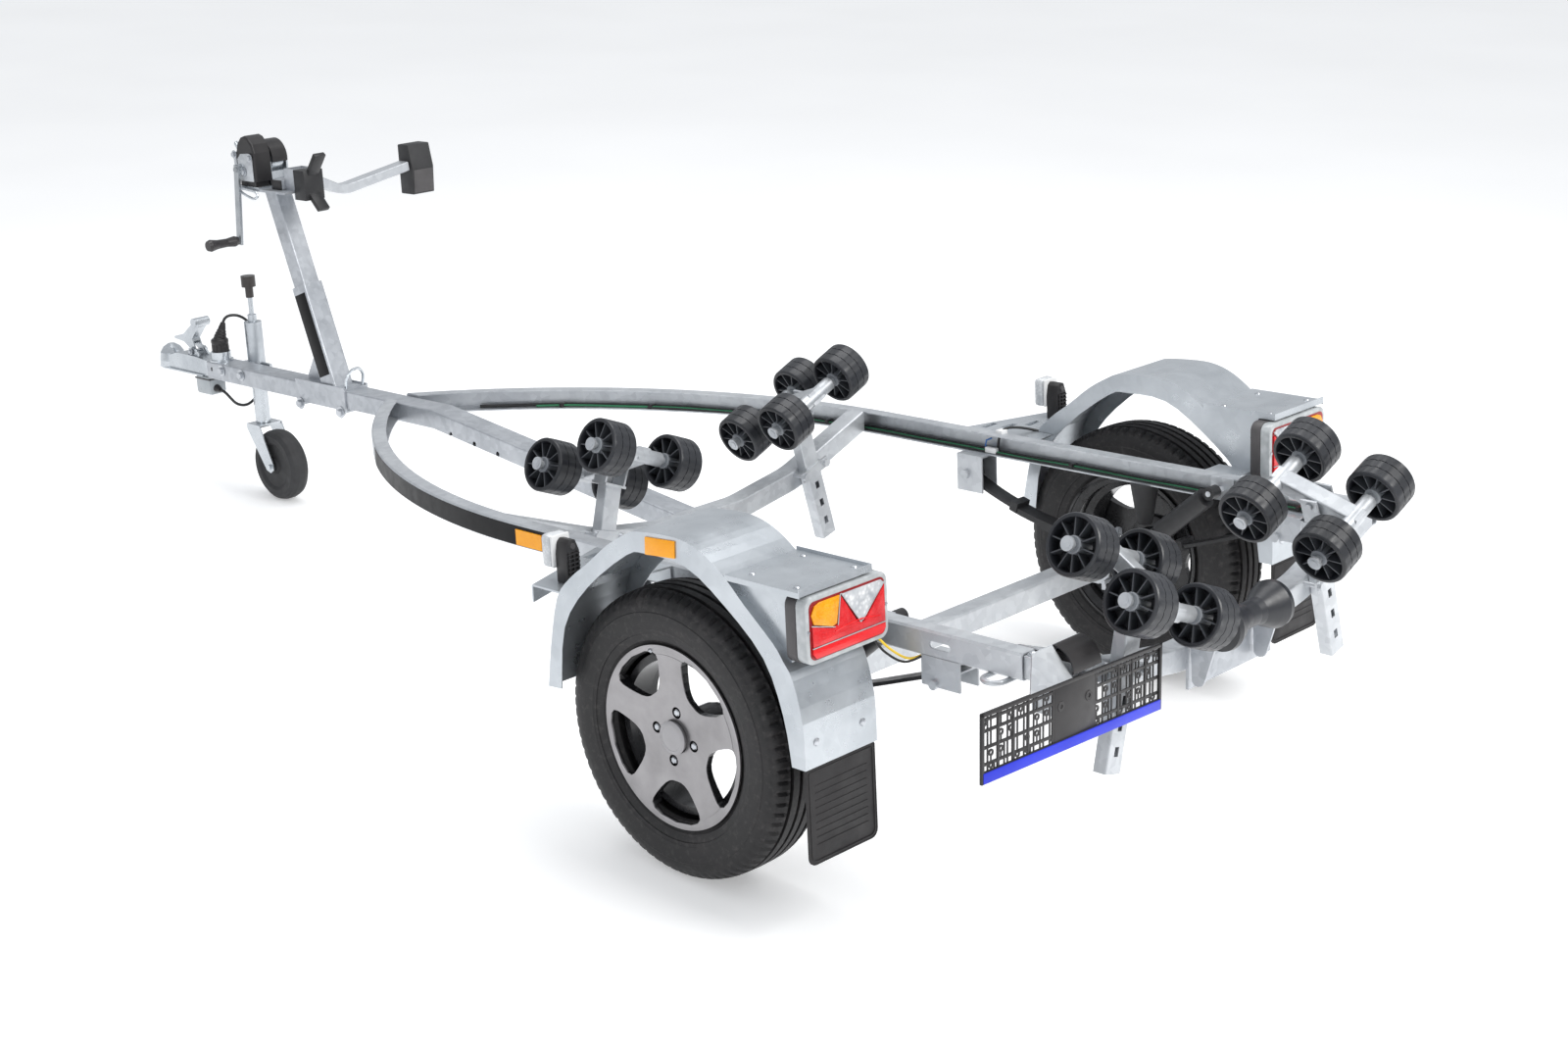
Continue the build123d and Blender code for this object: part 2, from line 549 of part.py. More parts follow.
# bracket: upright sheet behind the rail end, two webs to the holder and a sloping cover sheet
plate += block(-703, -700, 441, 576, 150, 260) + block(-700, RAIL_REAR_X, 545, 571, 208, 250)
for y in (446, 566):
    plate += block(PLATE_X + 1, -703, y, y + 4, 152, 196)
cover = [(-704.5, 521, 259), (-704.5, 575, 259), (-745.0, 634, 211), (-745.0, 521, 207)]
cover = Solid.make_loft([Wire.make_polygon([Vector(*p) for p in cover], close=True),
                         Wire.make_polygon([Vector(x + 2.5, y, z - 1.5) for x, y, z in cover], close=True)]) \
    if False else prism_xz([(-701, 258), (-704.5, 259), (-745.5, 209), (-742.5, 206)], 521, 576)
plate += cover
plate_holder = one(plate)
put("plate_holder", plate_holder)
# lamp under a quarter-round hood
hood = cyl((-703.2, 441, 215), (-703.2, 519, 215), 45.5) - cyl((-703.2, 430, 215), (-703.2, 530, 215), 43)
hood &= block(-760, -703.2, 441, 519, 215, 270)
plate_lamp = hood + block(-732, -703.2, 455, 505, 229, 247) + block(-716, -703.2, 441, 519, 244, 249)
plate_lamp += block(-722, -703.2, 478, 481, 240, 256.5)
put("plate_lamp", one(plate_lamp))


# --------------------------------------------------------- roller cradles
def cradle_axes(s, pitch):
    g = radians(CRADLE_TILT)
    t = Vector(0, s * cos(g), sin(g))
    n = Vector(0, -s * sin(g), cos(g))
    fwd = Vector(1, 0, 0) * cos(pitch) + n * sin(pitch)
    upn = Vector(-1, 0, 0) * sin(pitch) + n * cos(pitch)
    return t, n, fwd, upn


def local(origin, x, y):
    """Plane whose local x runs along the walking beam and local y along the axle."""
    return Plane(origin=origin, x_dir=x, z_dir=x.cross(y))


def make_cradle(s, px, py, pz, pitch):
    t, n, fwd, upn = cradle_axes(s, pitch)
    P = Vector(px, s * py, pz)
    # walking beam: flat tube along the beam, with a cross tube at each end for the axles
    body = bar(P - fwd * (CRADLE_HALF_BASE + 14), P + fwd * (CRADLE_HALF_BASE + 14), RectangleRounded(40, 30, 4), t)
    for e in (-1, 1):
        c = P + fwd * (e * CRADLE_HALF_BASE)
        body += cyl(c - t * 56, c + t * 56, 16.0)
        body += cyl(c - t * (CRADLE_HALF_TRACK + 50), c + t * (CRADLE_HALF_TRACK + 50), 8.0)
        for f in (-1, 1):
            body += cyl(c + t * (f * (CRADLE_HALF_TRACK + 43.5)), c + t * (f * (CRADLE_HALF_TRACK + 49)), 14.0)
    body -= cyl(P - t * 30, P + t * 30, 8.3)
    return body


def make_rollers(s, px, py, pz, pitch, e):
    t, n, fwd, upn = cradle_axes(s, pitch)
    c = Vector(px, s * py, pz) + fwd * (e * CRADLE_HALF_BASE)
    h, r = ROLLER_W / 2, ROLLER_D / 2
    prof = [(-h, 14), (-h, 20), (-h + 8, 24), (-h + 8, 44), (-h + 2, 50), (-h + 2, 56), (-h + 7, r), (h - 7, r),
            (h - 2, 56), (h - 2, 50), (h - 8, 44), (h - 8, 24), (h, 20), (h, 14)]
    prof = [(a, rr) for a, rr in prof[1:-1]] + [(h, 8.4), (-h, 8.4)]
    return [lathe_at(prof, c + t * (f * CRADLE_HALF_TRACK), t) for f in (-1, 1)]


def make_post(s, px, py, pz, pitch, cross_rear_x):
    t, n, fwd, upn = cradle_axes(s, pitch)
    tilt = radians(POST_TILT)
    d = Vector(0, -s * sin(tilt), cos(tilt))
    w = Vector(0, s * cos(tilt), sin(tilt))
    P = Vector(px, s * py, pz)
    xc = cross_rear_x - POST_T / 2
    centre = Vector(xc, P.Y, P.Z)
    top, foot = centre - d * 44, centre - d * POST_LEN
    post = bar(foot, top, hollow(POST_W, POST_T, 3.0, 3.0), w)
    # adjusting slots in the rear face of the lower half: distance below the pivot
    for k in (215, 262, 309):
        c = centre - d * k
        post -= bar(c + Vector(-POST_T, 0, 0) - d * 9, c + Vector(-POST_T, 0, 0) + d * 9, Rectangle(12, 40), w)
    # yoke that carries the pivot: base plate, two cheeks, pin
    base = P - n * 40
    post += bar(base - n * 6, base, Rectangle(62, 44), t)
    for f in (-1, 1):
        c = P + t * (f * 28.0)
        post += bar(base - n * 6 + t * (f * 28.0), P + n * 14 + t * (f * 28.0), Rectangle(5, 36), t)
    post += cyl(P - t * 36, P + t * 36, 8.0)
    # clamp across the back of the post, bolted to the cross member
    cc = centre - d * ((P.Z - 0.0) - 166.0 + 8.0)
    arm = Vector(0, s * cos(radians(17)), sin(radians(17)))
    back = Vector(xc - POST_T / 2 - 2.5, cc.Y, cc.Z)
    post += bar(back - arm * 46, back + arm * 46, Rectangle(5, 24), (1, 0, 0))
    for f in (-1, 1):
        b = back + arm * (f * 36)
        post += cyl(b + Vector(-10, 0, 0), Vector(cross_rear_x, b.Y, b.Z), 5.0)
        post += cyl(b + Vector(-10, 0, 0), b + Vector(-2, 0, 0), 9.0)
    return post


posts_front, posts_rear = [], []
for name, s, px, py, pz, pitch in CRADLES:
    put("cradle_" + name, make_cradle(s, px, py, pz, pitch))
    put("rollers_" + name + "_front", *make_rollers(s, px, py, pz, pitch, 1))
    put("rollers_" + name + "_rear", *make_rollers(s, px, py, pz, pitch, -1))
    if name[0] == "f":
        posts_front.append(one(make_post(s, px, py, pz, pitch, FRONT_CROSS_X - CROSS_W / 2)))
    else:
        posts_rear.append(one(make_post(s, px, py, pz, pitch, REAR_CROSS_X - CROSS_W / 2)))
put("roller_posts", *posts_front, *posts_rear)

# --------------------------------------------------------------- winch post
lean = radians(SLEEVE_LEAN)
along = Vector(sin(lean), 0, cos(lean))


def on_post(z):
    return Vector(SLEEVE_X + (z - BAR_TOP) * tan(lean), 0, z)


saddle_z = BAR_TOP + 5.0
sleeve = bar(on_post(200), on_post(505), hollow(60, 58, 3.5, 5.0), (0, 1, 0)) & block(1900, 2500, -60, 60, saddle_z, 700)
sleeve += block(1990, 2205, -38, 38, BAR_TOP, saddle_z)
for s in (+1, -1):
    sleeve += prism_xz([(1990, 256), (2205, 256), (2205, 196), (2194, 183), (2182, 183), (2172, 196), (2035, 196),
                        (2022, 182), (2002, 182), (1990, 196)], s * (BAR_W / 2), s * 38)
for bx, bz in ((2189, 190.5), (2012, 190.0)):
    sleeve += cyl((bx, -46, bz), (bx, 46, bz), 5.5)
# front gusset and rear loop
sleeve += prism_xz([(2128, saddle_z - 1), (2191, saddle_z - 1), (2191, 262), (2161, 309), (2141, 309)], -4, 4)
loop = FilletPolyline((2048, 0, 262), (1968, 0, 256), (1968, 0, 302), (2064, 0, 302), radius=[16, 16])
put("winch_post_sleeve", one(sleeve))

TOP_Z = 752.0
upper = bar(on_post(200), on_post(900), hollow(50, 48, 3.0, 4.0), (0, 1, 0)) & block(1900, 2600, -60, 60, saddle_z, TOP_Z)
upper += block(2131, 2348, -48, 62, TOP_Z, TOP_Z + 6)
# channel that carries the bow stop, on the rear end of the head plate
upper += block(2131, 2135, -28, 28, 735, 813) + block(2167, 2171.7, -28, 28, TOP_Z + 6, 813)
upper += block(2131, 2171.7, 24, 28, TOP_Z + 6, 813) + block(2131, 2171.7, -28, -24, TOP_Z + 6, 813)
put("winch_post", one(upper))

frame_z = TOP_Z + 6.0
dx, dz = DRUM
wf = block(2246, 2346, -47, 60, frame_z, frame_z + 4)
cheek = [(dx - 40, frame_z), (dx + 40, frame_z), (dx + 40, dz)] \
    + [(dx + 40 * cos(radians(a)), dz + 40 * sin(radians(a))) for a in range(15, 180, 15)] + [(dx - 40, dz)]
wf += prism_xz(cheek, -47, -42) + prism_xz(cheek, 5, 10)
wf -= cyl((dx, -60, dz), (dx, 20, dz), 8.3)
put("winch_frame", one(wf))

gear = [(2254, 775), (2334, 775), (2334, 850), (2326, 872), (2310, 888), (2294, 893), (2278, 888), (2262, 872), (2254, 850)]
gear_cover = prism_xz(gear, 10.3, 60)
gear_cover = fillet(gear_cover.faces().sort_by(Axis.Y)[-1].edges(), 5.0)
gear_cover -= cyl((CRANK[0], 40, CRANK[1]), (CRANK[0], 70, CRANK[1]), 8.0)
drum_cover = ring((dx, -41.7, dz), (dx, 4.7, dz), 48.5, 45.5) - block(dx - 60, dx + 60, -60, 20, dz - 60, dz - 8)
# the steel stand of the gear cover
gear_stand = block(2262, 2330, 16, 56, frame_z + 4, 774.8)
put("winch_covers", one(gear_cover), one(drum_cover), gear_stand)

drum = ring((dx, -36, dz), (dx, -1, dz), 38.0, 7.0) + cyl((dx, -50, dz), (dx, 9, dz), 8.0)
put("winch_drum", one(drum))

c0, c1 = Vector(CRANK[0], 72.5, CRANK[1]), Vector(CRANK_END[0], 72.5, CRANK_END[1])
cd = (c1 - c0).normalized()
crank = cyl((CRANK[0], 46, CRANK[1]), (CRANK[0], 80, CRANK[1]), 7.0)
crank += bar(c0 - cd * 11, c1 + cd * 11, Rectangle(7, 20), (0, 1, 0))
crank += cyl((c1.X, 69, c1.Z), (c1.X, 84, c1.Z), 6.0)
crank += lathe_at([(0, 0), (0, 11), (10, 14), (34, 11), (62, 12), (84, 16), (92, 13), (92, 0)], (c1.X, 80, c1.Z), (0, 1, 0))
put("winch_crank", one(crank))

# bow stop: black channel with a V of two bars
bow = block(2126, 2130.7, -30, 30, 735, 812) + block(2084, 2130.7, 25, 30, 735, 812) + block(2084, 2130.7, -30, -25, 735, 812)
for q in ((2048.0, 854.0), (2052.0, 712.0)):
    a, b = Vector(2122, 0, 773), Vector(q[0], 0, q[1])
    bow += bar(a, b, Rectangle(50, 12), (0, 1, 0))
bow = one(bow)
put("bow_stop", bow)

# side guide: bent tube to the right with a rubber pad at its end
arm_x = 2193.3
arm = swept([(arm_x, 35, 770.7), (arm_x, -70, 770.7), (arm_x, -156, 729), (arm_x, -372, 764)], [60, 90],
            hollow(24.6, 42, 2.5, 3.0), (0, 0, 1))
arm += block(arm_x - 21, arm_x + 21, 35, 38, 758.4, 783)
put("side_arm", one(arm))
pad = prism_yz([(-372, 790), (-384, 820), (-446, 806), (-452, 792), (-440, 700), (-428, 686), (-392, 690), (-380, 706)],
               2166, 2220)
put("side_arm_pad", pad)

# ----------------------------------------------------------------- coupling
BALL = (2856.0, 222.0)                  # X, Z of the ball's centre
BALL_R = 25.3
head = prism_xz([(BAR_FRONT_X, 204), (BAR_FRONT_X, 246), (2700, 252), (2790, 252), (2830, 240), (2830, 201), (2690, 201)],
                -28, 28)
head += lathe_at([(0, 0), (0, 36), (18, 36), (40, 33), (54, 24), (63, 10), (64, 0)], (BALL[0], 0, 203), (0, 0, 1))
# turned-out lower lip
head += prism_xy([(2660, -33), (2850, -36), (2886, -26), (2898, 0), (2886, 26), (2850, 36), (2660, 33)], 201, 205)
head -= cyl((BALL[0], 0, 190), (BALL[0], 0, BALL[1]), BALL_R)
head -= Pos(BALL[0], 0, BALL[1]) * Sphere(BALL_R)
# hollow underside behind the socket
head -= block(2652, 2822, -23, 23, 195, 244)
# lugs for the lever
lug = [(2692, 251), (2742, 251), (2736, 270), (2722, 274), (2708, 268)]
for y0 in (-20, 14):
    head += prism_xz(lug, y0, y0 + 6)
head += cyl((LEVER_PIVOT[0], -23, LEVER_PIVOT[1]), (LEVER_PIVOT[0], 23, LEVER_PIVOT[1]), 4.0)
put("coupling_head", one(head))

# lever: side cheeks rising rearwards, rolled grip at the top
lx, lz = LEVER_PIVOT
lever = prism_xz([(lx - 14, lz - 3), (lx + 3, lz - 7), (lx + 10, lz + 2), (lx + 46, lz + 22), (lx + 90, lz + 26),
                  (lx + 92, lz + 32), (lx + 44, lz + 44), (lx - 20, lz + 88), (lx - 38, lz + 84), (lx - 34, lz + 70),
                  (lx + 2, lz + 34)], -13, 13)
lever -= prism_xz([(lx - 30, lz - 20), (lx + 30, lz - 20), (lx + 30, lz + 18), (lx + 14, lz + 30), (lx - 6, lz + 26)], -9.5, 9.5)
lever += cyl((lx - 29, -24, lz + 84), (lx - 29, 24, lz + 84), 13.0)
lever -= cyl((lx, -30, lz), (lx, 30, lz), 4.3)
put("coupling_lever", one(lever))

# ------------------------------------------- lead, plug, socket box under the bar
PLUG_X = 2606.0
holder = ring((PLUG_X, 0, BAR_TOP), (PLUG_X, 0, BAR_TOP + 26), 27.0, 22.6)
holder += ring((PLUG_X, 0, BAR_TOP), (PLUG_X, 0, BAR_TOP + 4), 33.0, 22.6)
put("plug_holder", one(holder))
plug = lathe_at([(0, 0), (0, 22), (48, 22), (52, 24), (60, 24), (66, 19), (66, 0)], (PLUG_X, 0, BAR_TOP + 0.5), (0, 0, 1))
# the boot leans to the right and rearwards
BOOT = Vector(-0.08, -0.30, 0.95).normalized()
boot_base = Vector(PLUG_X, 0, BAR_TOP + 56.5)
tip = boot_base + BOOT * 50
plug += lathe_at([(0, 0), (0, 18), (14, 17), (34, 10), (50, 8), (50, 0)], boot_base, BOOT)
put("plug", one(plug))

box = fillet(block(2634, 2706, -26, 30, 146, 200.7).edges().filter_by(Axis.Z), 12.0)
box = fillet(box.faces().sort_by(Axis.Z)[0].edges(), 8.0)
gland = cyl((2634.5, 8, 166), (2614, 8, 163), 9.0)
put("socket_box", one(box + gland))

LEAD_D = 8.0

# free leads (X, Y, Z): from the grommet to the plug, and from the grommet to the socket box
UP_END, DN_END = tip + BOOT * 18, Vector(2614, 8, 163) + Vector(-20.5, 0, -3).normalized() * 18
LEAD_UP = [(2588, -37.5, 226), (2588, -60, 226), (2585, -84, 240), (2582, -96, 272), (2580, -97, 310), (2581, -84, 344),
           (2588, -56, 368), (UP_END.X, UP_END.Y, UP_END.Z), (tip.X, tip.Y, tip.Z)]
LEAD_DN = [(2596, -37.5, 212), (2596, -60, 212), (2593, -86, 197), (2589, -97, 162), (2587, -86, 127), (2586, -54, 110),
           (2583, -18, 120), (2583, 3, 146), (DN_END.X, DN_END.Y, DN_END.Z), (2614, 8, 163)]


def lead(points, d):
    n = len(points)
    vs = [Vector(*p) for p in points]
    radii = []
    for i in range(1, n - 1):
        a, b = vs[i] - vs[i - 1], vs[i + 1] - vs[i]
        turn = radians(a.get_angle(b))
        radii.append(0.45 * min(a.length, b.length) / tan(turn / 2))
    path = FilletPolyline(*points, radius=radii)
    tube = sweep(Plane(origin=path @ 0, z_dir=path % 0) * Circle(d / 2), path=path)
    area = 3.14159265 * d * d / 4
    print("lead length %.1f, radii %s, volume ratio %.4f" % (
        path.length, ["%.0f" % r for r in radii], tube.volume / (area * path.length)))
    return tube


put("plug_lead", lead(LEAD_UP, LEAD_D))
put("socket_lead", lead(LEAD_DN, LEAD_D))

# ------------------------------------------------------------------- jockey
jx, jy = JOCKEY_X, JOCKEY_Y
outer_tube = ring((jx, jy, 200), (jx, jy, 350), 24.0, 21.0)
outer_tube += ring((jx, jy, 346), (jx, jy, 352), 24.0, 8.0)
for z0 in (206, 234):
    outer_tube += block(jx - 22, jx + 22, jy + 20, -33, z0, z0 + 10) - cyl((jx, jy, 190), (jx, jy, 260), 21.0)
outer_tube += block(jx - 30, jx + 30, -37, -33, 203, 245)
outer_tube += block(jx - 66, jx - 22, jy - 4, jy + 4, 214, 240) - cyl((jx, jy, 190), (jx, jy, 260), 21.0)
spindle = cyl((jx, jy, 351), (jx, jy, 372), 12.0) + cyl((jx, jy, 370), (jx, jy, 440), 6.5)
spindle += cyl((jx, jy, 420), (jx, jy, 452), 11.0) + cyl((jx, jy, 450), (jx, jy, 480), 19.5)
put("jockey_tube", one(outer_tube + spindle))

leg = ring((jx, jy, 74), (jx, jy, 300), 20.5, 17.5) + cyl((jx, jy, 68), (jx, jy, 82), 20.5)
leg -= cyl((jx, jy, 60), (jx, jy, 76), 8.3)
put("jockey_leg", one(leg))

wx, wz = JOCKEY_C
fork = block(wx + 34, jx + 26, jy - 38, jy + 38, 60, 67)
fork += cyl((jx, jy, 61), (jx, jy, 75), 8.0)
cheek = [(jx + 26, 67), (jx + 26, 52), (wx + 18, wz - 12), (wx, wz - 18), (wx - 16, wz - 8), (wx - 14, wz + 10), (wx + 34, 67)]
for y0 in (jy - 38, jy + 34.5):
    fork += prism_xz(cheek, y0, y0 + 3.5)
fork += cyl((wx, jy - 44, wz), (wx, jy + 44, wz), 7.0)
put("jockey_fork", one(fork))
h = JOCKEY_W / 2
jw = lathe_at([(-h, 7.3), (-h, 20), (-h + 6, 24), (-h + 6, 60), (-h, 68), (-h, 84), (-h + 8, 94), (-h + 20, JOCKEY_R),
               (h - 20, JOCKEY_R), (h - 8, 94), (h, 84), (h, 68), (h - 6, 60), (h - 6, 24), (h, 20), (h, 7.3)],
              (wx, jy, wz), (0, 1, 0))
put("jockey_wheel", jw)

# -------------------------------------------- wiring clipped to the right rail
# two cables on the lower flange: distance of each from the rail's outer face, diameter
CABLES = [(14.0, 8.0), (24.0, 6.0)]
cables = []
for off, dia in CABLES:
    y, z = -(RAIL_OUT - off), RAIL_TOP - RAIL_H + RAIL_T + dia / 2 + 0.1
    run = cyl((RAIL_REAR_X + 12, y, z), (RAIL_BEND_X, y, z), dia / 2)
    face = Plane(origin=(RAIL_BEND_X, y, z), z_dir=(1, 0, 0)) * Circle(dia / 2)
    bend = revolve(face, axis=Axis((RAIL_BEND_X, -(RAIL_OUT - RAIL_BEND_R), 0), (0, 0, 1)), revolution_arc=44.0)
    cables.append(one(run + bend))
put("wiring_harness", *cables)

# ------------------------------------------------------------------- report
lo = [1e9] * 3
hi = [-1e9] * 3
CORDS = ("plug", "plug_lead", "socket_lead", "socket_box")
for name, solids in made:
    if name in CORDS:
        continue
    for s in solids:
        bb = (STANCE * s).bounding_box()
        for i, (a, b) in enumerate(((bb.min.X, bb.max.X), (bb.min.Y, bb.max.Y), (bb.min.Z, bb.max.Z))):
            lo[i], hi[i] = min(lo[i], a), max(hi[i], b)
print("stance %.4f deg, nodes %d" % (PARK_DEG, len(made)))
print("box min %s max %s, middle X %.2f" % ([round(v, 1) for v in lo], [round(v, 1) for v in hi], (lo[0] + hi[0]) / 2))
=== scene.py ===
import bpy, bmesh, math
from math import sin, cos, radians, degrees, pi, hypot, atan2, sqrt
from mathutils import Matrix, Vector


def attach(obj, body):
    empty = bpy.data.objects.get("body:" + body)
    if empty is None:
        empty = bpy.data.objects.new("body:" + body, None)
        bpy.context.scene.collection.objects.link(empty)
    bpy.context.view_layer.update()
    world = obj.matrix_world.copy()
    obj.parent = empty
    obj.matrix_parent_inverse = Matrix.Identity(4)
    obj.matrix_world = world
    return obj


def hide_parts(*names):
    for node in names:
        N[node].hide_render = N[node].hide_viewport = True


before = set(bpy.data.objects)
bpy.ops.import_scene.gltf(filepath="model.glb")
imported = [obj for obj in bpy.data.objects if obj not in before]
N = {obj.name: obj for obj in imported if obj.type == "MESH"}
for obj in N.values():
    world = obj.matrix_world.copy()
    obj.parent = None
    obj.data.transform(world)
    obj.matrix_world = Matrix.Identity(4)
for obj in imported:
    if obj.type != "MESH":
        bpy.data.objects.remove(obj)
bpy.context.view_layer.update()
scene = bpy.context.scene

# ---------------------------------------------------------------- the shared frame
# Pieces are drawn in the trailer's level frame in millimetres (X forward, Y left,
# Z up, origin on the wheel axis) and carried into the parked stance by M.
TH = radians(3.3193888)
M = Matrix.Translation((-1.03206, 0.0, 0.286)) @ Matrix.Rotation(TH, 4, 'Y') @ Matrix.Scale(0.001, 4)
R3 = Matrix.Rotation(TH, 3, 'Y')


# ------------------------------------------------------------------------ camera
def make_camera():
    C = Vector((-3208.165, 3689.42, 1695.639))
    yaw, pitch, roll, f = -0.790, 0.289, -0.048, 2523.06
    fw = Vector((cos(pitch) * cos(yaw), cos(pitch) * sin(yaw), -sin(pitch)))
    r = Vector((sin(yaw), -cos(yaw), 0))
    u = r.cross(fw)
    c, s = cos(roll), sin(roll)
    r2, u2 = c * r + s * u, -s * r + c * u
    cam = bpy.data.cameras.new("photo_camera")
    cam.sensor_fit = 'HORIZONTAL'
    cam.sensor_width = 36.0
    cam.lens = f * 36.0 / 1600.0
    cam.clip_end = 100
    ob = bpy.data.objects.new("photo_camera", cam)
    rot = Matrix((R3 @ r2, R3 @ u2, R3 @ (-fw))).transposed()
    ob.matrix_world = Matrix.Translation(M @ C) @ rot.to_4x4()
    scene.collection.objects.link(ob)
    scene.camera = ob


make_camera()


# --------------------------------------------------------------------- materials
def new_mat(name):
    m = bpy.data.materials.new(name)
    m.use_nodes = True
    nt = m.node_tree
    b = nt.nodes["Principled BSDF"]
    return m, nt, b


def noise(nt, scale, detail=3.0, rough=0.55, coord="Object", stretch=None):
    tc = nt.nodes.new("ShaderNodeTexCoord")
    n = nt.nodes.new("ShaderNodeTexNoise")
    n.inputs["Scale"].default_value = scale
    n.inputs["Detail"].default_value = detail
    n.inputs["Roughness"].default_value = rough
    if stretch:
        mp = nt.nodes.new("ShaderNodeMapping")
        mp.inputs["Scale"].default_value = stretch
        nt.links.new(tc.outputs[coord], mp.inputs["Vector"])
        nt.links.new(mp.outputs["Vector"], n.inputs["Vector"])
    else:
        nt.links.new(tc.outputs[coord], n.inputs["Vector"])
    return n


def voronoi(nt, scale, coord="Object"):
    tc = nt.nodes.new("ShaderNodeTexCoord")
    n = nt.nodes.new("ShaderNodeTexVoronoi")
    n.inputs["Scale"].default_value = scale
    nt.links.new(tc.outputs[coord], n.inputs["Vector"])
    return n


def ramp(nt, src, stops):
    r = nt.nodes.new("ShaderNodeValToRGB")
    el = r.color_ramp.elements
    el[0].position, el[0].color = stops[0][0], (*stops[0][1], 1)
    el[1].position, el[1].color = stops[-1][0], (*stops[-1][1], 1)
    for p, c in stops[1:-1]:
        e = el.new(p)
        e.color = (*c, 1)
    nt.links.new(src, r.inputs["Fac"])
    return r.outputs["Color"]


def maprange(nt, src, a, b, c, d):
    m = nt.nodes.new("ShaderNodeMapRange")
    for k, v in zip(("From Min", "From Max", "To Min", "To Max"), (a, b, c, d)):
        m.inputs[k].default_value = v
    nt.links.new(src, m.inputs["Value"])
    return m.outputs["Result"]


def mix(nt, fac, a, b, blend='MIX'):
    m = nt.nodes.new("ShaderNodeMix")
    m.data_type = 'RGBA'
    m.blend_type = blend
    if isinstance(fac, float):
        m.inputs["Factor"].default_value = fac
    else:
        nt.links.new(fac, m.inputs["Factor"])
    for k, v in (("A", a), ("B", b)):
        sock = [i for i in m.inputs if i.name == k and i.type == 'RGBA'][0]
        if isinstance(v, tuple):
            sock.default_value = (*v, 1)
        else:
            nt.links.new(v, sock)
    return [o for o in m.outputs if o.type == 'RGBA'][0]


def bump(nt, b, src, strength, distance):
    n = nt.nodes.new("ShaderNodeBump")
    n.inputs["Strength"].default_value = strength
    n.inputs["Distance"].default_value = distance
    nt.links.new(src, n.inputs["Height"])
    nt.links.new(n.outputs["Normal"], b.inputs["Normal"])


def metal(name, dark, light, r0, r1, metallic=0.85, spangle=55.0, spangle_mix=0.25, bumpy=0.06, streak=None):
    """Galvanised or plated steel: cloudy tone, crystal spangle and slightly uneven sheen."""
    m, nt, b = new_mat(name)
    n1 = noise(nt, 7.0, 4.0, 0.6, stretch=streak)
    base = ramp(nt, n1.outputs["Fac"], [(0.30, dark), (0.70, light)])
    v = voronoi(nt, spangle)
    cell = ramp(nt, v.outputs["Color"], [(0.15, tuple(c * 0.86 for c in dark)), (0.85, tuple(min(1, c * 1.08) for c in light))])
    nt.links.new(mix(nt, spangle_mix, base, cell), b.inputs["Base Color"])
    n2 = noise(nt, 22.0, 5.0, 0.6)
    nt.links.new(maprange(nt, n2.outputs["Fac"], 0.3, 0.7, r0, r1), b.inputs["Roughness"])
    n3 = noise(nt, 160.0, 3.0, 0.6)
    bump(nt, b, n3.outputs["Fac"], bumpy, 0.002)
    b.inputs["Metallic"].default_value = metallic
    return m


def plastic(name, dark, light, r0, r1, scale=60.0, bumpy=0.12, spec=0.5, dist=0.001):
    m, nt, b = new_mat(name)
    n1 = noise(nt, 9.0, 4.0)
    nt.links.new(ramp(nt, n1.outputs["Fac"], [(0.3, dark), (0.72, light)]), b.inputs["Base Color"])
    n2 = noise(nt, 30.0, 4.0)
    nt.links.new(maprange(nt, n2.outputs["Fac"], 0.3, 0.7, r0, r1), b.inputs["Roughness"])
    n3 = noise(nt, scale * 6, 3.0)
    bump(nt, b, n3.outputs["Fac"], bumpy, dist)
    b.inputs["Specular IOR Level"].default_value = spec
    return m


GALV = metal("galvanised", (0.36, 0.38, 0.41), (0.53, 0.55, 0.58), 0.32, 0.48, 0.64, 70, 0.30, 0.05)
GALV_LIGHT = metal("galvanised_light", (0.44, 0.46, 0.49), (0.61, 0.63, 0.65), 0.32, 0.48, 0.62, 60, 0.28, 0.05)
SHEET = metal("zinc_sheet", (0.43, 0.46, 0.49), (0.56, 0.59, 0.62), 0.24, 0.38, 0.74, 38, 0.14, 0.02)
ZINC = metal("bright_zinc", (0.44, 0.47, 0.50), (0.64, 0.67, 0.70), 0.18, 0.32, 0.84, 90, 0.10, 0.03)
BOLT = metal("bolt_zinc", (0.40, 0.42, 0.45), (0.62, 0.64, 0.67), 0.22, 0.36, 0.88, 120, 0.10, 0.03)
BLACK_STEEL = plastic("black_paint", (0.012, 0.012, 0.013), (0.026, 0.026, 0.028), 0.32, 0.50, 40, 0.05, 0.4)
BLACK_PLASTIC = plastic("black_moulded", (0.013, 0.012, 0.013), (0.029, 0.027, 0.028), 0.32, 0.46, 90, 0.10, 0.4)
RUBBER = plastic("black_rubber", (0.016, 0.016, 0.017), (0.034, 0.034, 0.036), 0.55, 0.72, 50, 0.15)
ROLLER_MAT = plastic("roller_rubber", (0.010, 0.011, 0.014), (0.026, 0.028, 0.034), 0.32, 0.48, 45, 0.10, 0.5)
FLAP_MAT = plastic("flap_rubber", (0.012, 0.011, 0.012), (0.024, 0.022, 0.023), 0.48, 0.64, 30, 0.25, 0.35)
CABLE_BLACK = plastic("cable_black", (0.012, 0.012, 0.013), (0.03, 0.03, 0.03), 0.35, 0.5, 60, 0.05)
CABLE_GREEN = plastic("cable_green", (0.02, 0.16, 0.07), (0.04, 0.26, 0.12), 0.35, 0.5, 60, 0.05)
CABLE_YELLOW = plastic("cable_yellow", (0.75, 0.50, 0.03), (0.88, 0.62, 0.06), 0.35, 0.5, 60, 0.05)
